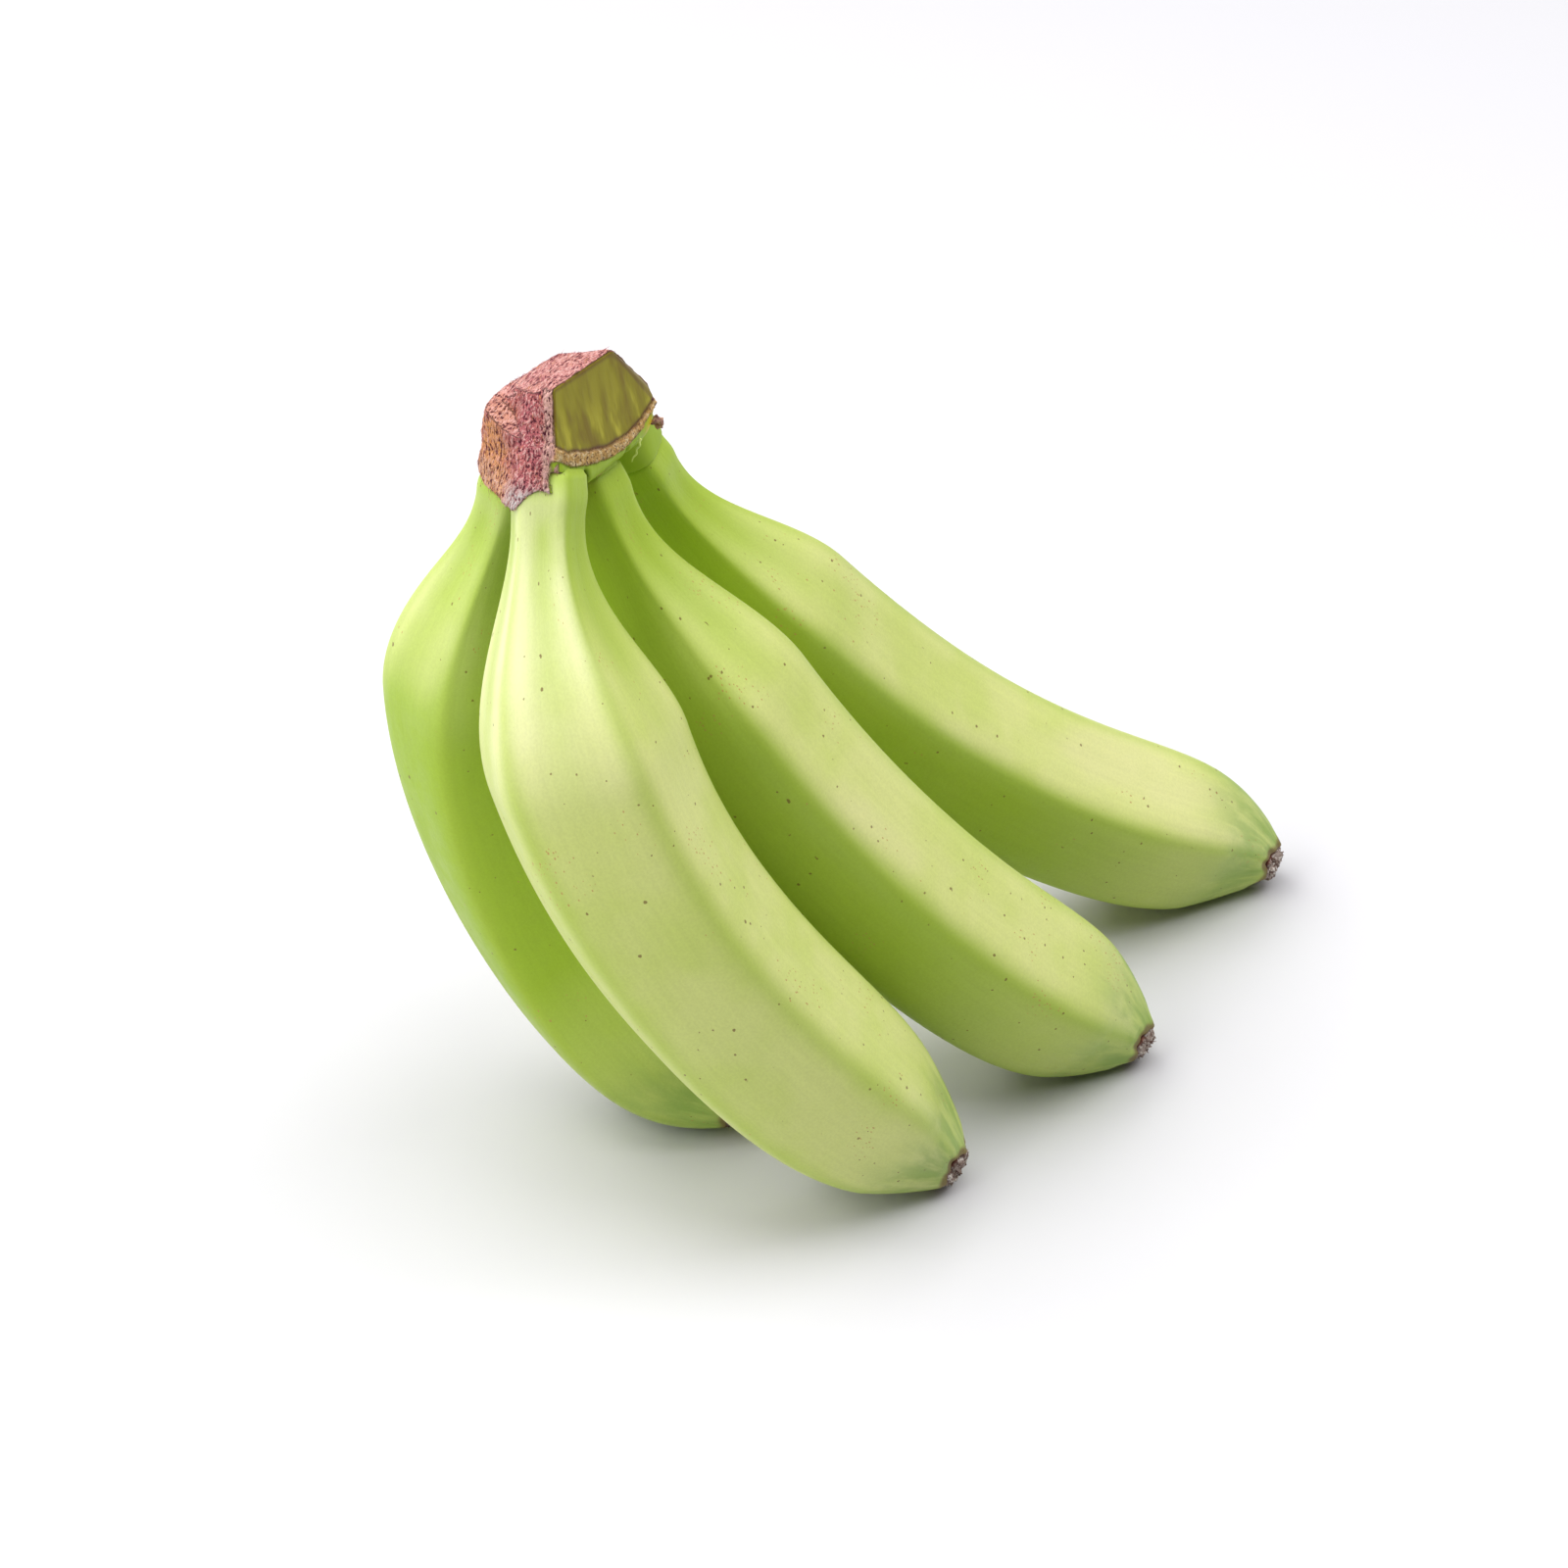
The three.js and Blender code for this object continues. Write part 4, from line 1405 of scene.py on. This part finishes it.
    def fibres(self, cushion: Piece, strew: Slivers) -> None:
        """Strews loose fibres over the bark in three tones.

        Args:
            cushion: The finished crown.
            strew: Tree that strews slivers.
        """
        tones = (("pale", (0.80, 0.56, 0.50), (0.60, 0.32, 0.30), 0.5e6, 0.8, 0.05),
                 ("plum", (0.40, 0.09, 0.12), (0.20, 0.04, 0.06), 0.5e6, 0.9, 0.06),
                 ("rust", (0.66, 0.30, 0.12), (0.36, 0.14, 0.07), 0.2e6, 0.9, 0.06))
        for number, (name, tone, deep, density, length, width) in enumerate(tones):
            finish = FibreFinish(f"fibre_{name}", tone, deep).make()
            values = {"Density": density, "Length": length * MM, "Width": width * MM, "Seed": number + 3,
                      "Material": finish}
            settle(strew.grow(f"bark_fibres_{name}", cushion.data.copy(), values), ("crown",))


@dataclass
class LooseBits:
    """A curled scrap of dry bract and a torn pale fibre at the end of the rim."""

    scrap_centre: Triple = (-24.1, 13.1, 155.2)
    scrap_half: Triple = (1.1, 0.55, 1.5)
    scrap_pole: float = 0.08  # angle left open at each end, in radians
    scrap_rows: int = 24
    scrap_around: int = 40
    thread: tuple = ((-26.9, 6.4, 155.7), (-27.3, 6.2, 155.1), (-27.1, 6.0, 154.4), (-27.9, 6.0, 153.6),
                     (-27.7, 5.9, 152.6), (-28.5, 5.9, 151.8), (-28.7, 5.8, 150.9))
    thread_radius: float = 0.3
    thread_around: int = 8
    thread_rows: int = 40

    def scrap(self) -> None:
        """Makes the crumpled scrap."""
        polar = np.linspace(self.scrap_pole, math.pi - self.scrap_pole, self.scrap_rows)[:, None]
        angle = directions(self.scrap_around)[None]
        ball = np.stack(np.broadcast_arrays(
            np.sin(polar) * np.cos(angle), np.sin(polar) * np.sin(angle), -np.cos(polar)), -1).reshape(-1, 3)
        points = ball * np.array(self.scrap_half) + np.array(self.scrap_centre)
        crumple = 0.75 * lumps(points, 1.3, 3.0, 2) + 0.3 * lumps(points, 0.5, 6.0, 2)
        points = points + ball * crumple[:, None]
        piece = closed_tube("bract_scrap", points, self.scrap_rows, self.scrap_around)
        piece.data.materials.append(FibreFinish("bract", (0.60, 0.36, 0.24), (0.14, 0.05, 0.05)).make())
        settle(piece, ("crown",))

    def torn_thread(self) -> None:
        """Makes the hanging thread."""
        knots = np.array(self.thread)
        at = np.linspace(0, len(knots) - 1, self.thread_rows)
        way = np.stack([np.interp(at, np.arange(len(knots)), knots[:, k]) for k in range(3)], -1)
        for _ in range(4):
            way[1:-1] = (way[:-2] + 2 * way[1:-1] + way[2:]) / 4
        tangent = unit(np.gradient(way, axis=0))
        side = unit(np.cross(tangent, [0, 1.0, 0]))
        over = np.cross(tangent, side)
        angle = directions(self.thread_around)
        radius = self.thread_radius * (1 - 0.6 * at / at[-1])[:, None, None]
        ring = np.cos(angle)[None, :, None] * side[:, None] + np.sin(angle)[None, :, None] * over[:, None]
        points = (way[:, None] + radius * ring).reshape(-1, 3)
        piece = closed_tube("torn_thread", points, self.thread_rows, self.thread_around)
        piece.data.materials.append(FibreFinish("thread", (0.80, 0.90, 0.28), (0.60, 0.74, 0.14)).make())
        settle(piece, ("crown",))


# ---- studio ------------------------------------------------------------------------------


@dataclass(frozen=True)
class Lamp:
    """A square soft light, placed by azimuth and elevation in degrees."""

    name: str
    azimuth: float
    elevation: float
    size: float  # side in metres
    power: float  # in watts
    distance: float = 1.3  # in metres


LAMPS = (
    Lamp("key", 162, 58, 1.0, 16),
    Lamp("top", -15, 75, 1.1, 12),
    Lamp("left", 212, 36, 0.8, 8.5),
    Lamp("right", 20, 45, 0.8, 4.5),
)


@dataclass
class Studio:
    """White ground, soft lights and the camera."""

    look_at: Triple = (0.0, 0.0, 80.0)
    elevation: float = 36.0
    distance: float = 1250.0
    pixels_per_mm: float = 5.25
    frame_pixels: int = 1600
    sensor: float = 36.0
    clip_end: float = 20.0  # in metres
    ground_half: float = 3000.0
    aim_height: float = 0.06  # that the lights look at, in metres
    sky_strength: float = 0.06

    def camera(self) -> None:
        """Places the camera and makes it the scene's own."""
        data = bpy.data.cameras.new("view")
        data.sensor_width = self.sensor
        data.lens = self.pixels_per_mm * self.distance / self.frame_pixels * self.sensor
        data.clip_end = self.clip_end
        holder = bpy.data.objects.new("view", data)
        bpy.context.scene.collection.objects.link(holder)
        lift = math.radians(self.elevation)
        back = np.array([0, -math.cos(lift), math.sin(lift)]) * self.distance
        holder.location = (np.array(self.look_at) - ORIGIN + back) * MM
        holder.rotation_euler = (math.pi / 2 - lift, 0, 0)
        bpy.context.scene.camera = holder

    def ground(self) -> None:
        """Lays a plain white ground under the bunch."""
        half = self.ground_half
        corners = np.array([[-half, -half, 0], [half, -half, 0], [half, half, 0], [-half, half, 0]], float)
        floor = new_mesh("ground", corners, [(0, 1, 2, 3)])
        floor.data.materials.append(FloorFinish().make())

    def area_light(self, lamp: Lamp) -> None:
        """Hangs up a square soft light that looks at the bunch.

        Args:
            lamp: Its place, size and power.
        """
        azimuth, elevation = math.radians(lamp.azimuth), math.radians(lamp.elevation)
        way = Vector((math.cos(elevation) * math.cos(azimuth), math.cos(elevation) * math.sin(azimuth),
                      math.sin(elevation)))
        data = bpy.data.lights.new(lamp.name, "AREA")
        data.shape, data.size, data.energy = "SQUARE", lamp.size, lamp.power
        holder = bpy.data.objects.new(lamp.name, data)
        holder.location = way * lamp.distance + Vector((0, 0, self.aim_height))
        holder.rotation_mode = "QUATERNION"
        holder.rotation_quaternion = way.to_track_quat("Z", "Y")
        bpy.context.scene.collection.objects.link(holder)

    def sky(self) -> None:
        """Even white light from all round."""
        world = bpy.data.worlds.new("studio")
        world.use_nodes = True
        world.node_tree.nodes["Background"].inputs["Color"].default_value = (1, 1, 1, 1)
        world.node_tree.nodes["Background"].inputs["Strength"].default_value = self.sky_strength
        bpy.context.scene.world = world

    def build(self) -> None:
        """Sets up everything that isn't part of the bunch."""
        self.camera()
        self.ground()
        self.sky()
        for lamp in LAMPS:
            self.area_light(lamp)
        bpy.context.scene.view_settings.view_transform = "Standard"
        bpy.context.scene.view_settings.look = "None"


# Most of these values were found with a fitting program and then rounded.
FRUITS: tuple[Fruit, ...] = (
    Fruit("left", root=(-50, -4, 155.9), azimuth=132, dip=75.8, plane=17, length=171, neck=6.0,
          radius=16.5, taper=113, neck_bend=-28, bend=(57, 37), side_bend=7, ridge=100, twist=24, seed=1.0,
          bloom=0.3, hidden=1.25),
    Fruit("front", root=(-43.5, -12.5, 160.6), azimuth=-101, dip=60.1, plane=-37, length=185, neck=6.7,
          radius=19.3, taper=114, neck_bend=52, bend=(53, 9), side_bend=-8, ridge=83, twist=-14, seed=2.7,
          bloom=0.7, hidden=0.25),
    Fruit("middle", root=(-37.5, 4.5, 149.3), azimuth=-37, dip=68.4, plane=-27, length=186, neck=6.7,
          radius=17.5, taper=129, neck_bend=54, bend=(15, 25), side_bend=-7, ridge=90, twist=-4, seed=4.4),
    Fruit("right", root=(-29.5, 21.5, 142.9), azimuth=26, dip=66.6, plane=-29, length=202, neck=6.7,
          radius=17.0, taper=144, neck_bend=44, bend=(10, 30), side_bend=3, ridge=79, twist=-8, seed=6.1),
)


def main() -> None:
    """Builds the bunch and its surroundings."""
    logging.basicConfig(level=logging.INFO, format="%(name)s %(message)s")
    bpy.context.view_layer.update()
    peel, dry = PeelFinish().make(), DryFinish().make()
    sweep, strew = SweptSkin(), Slivers()
    for fruit in FRUITS:
        fruit.build(peel, sweep)
        BlossomEnd(fruit).build(dry, strew)
    crown = Crown()
    crown.fibres(crown.build(CrownFinish().make()), strew)
    bits = LooseBits()
    bits.scrap()
    bits.torn_thread()
    Studio().build()
    bpy.context.view_layer.update()


if __name__ == "__main__":
    main()
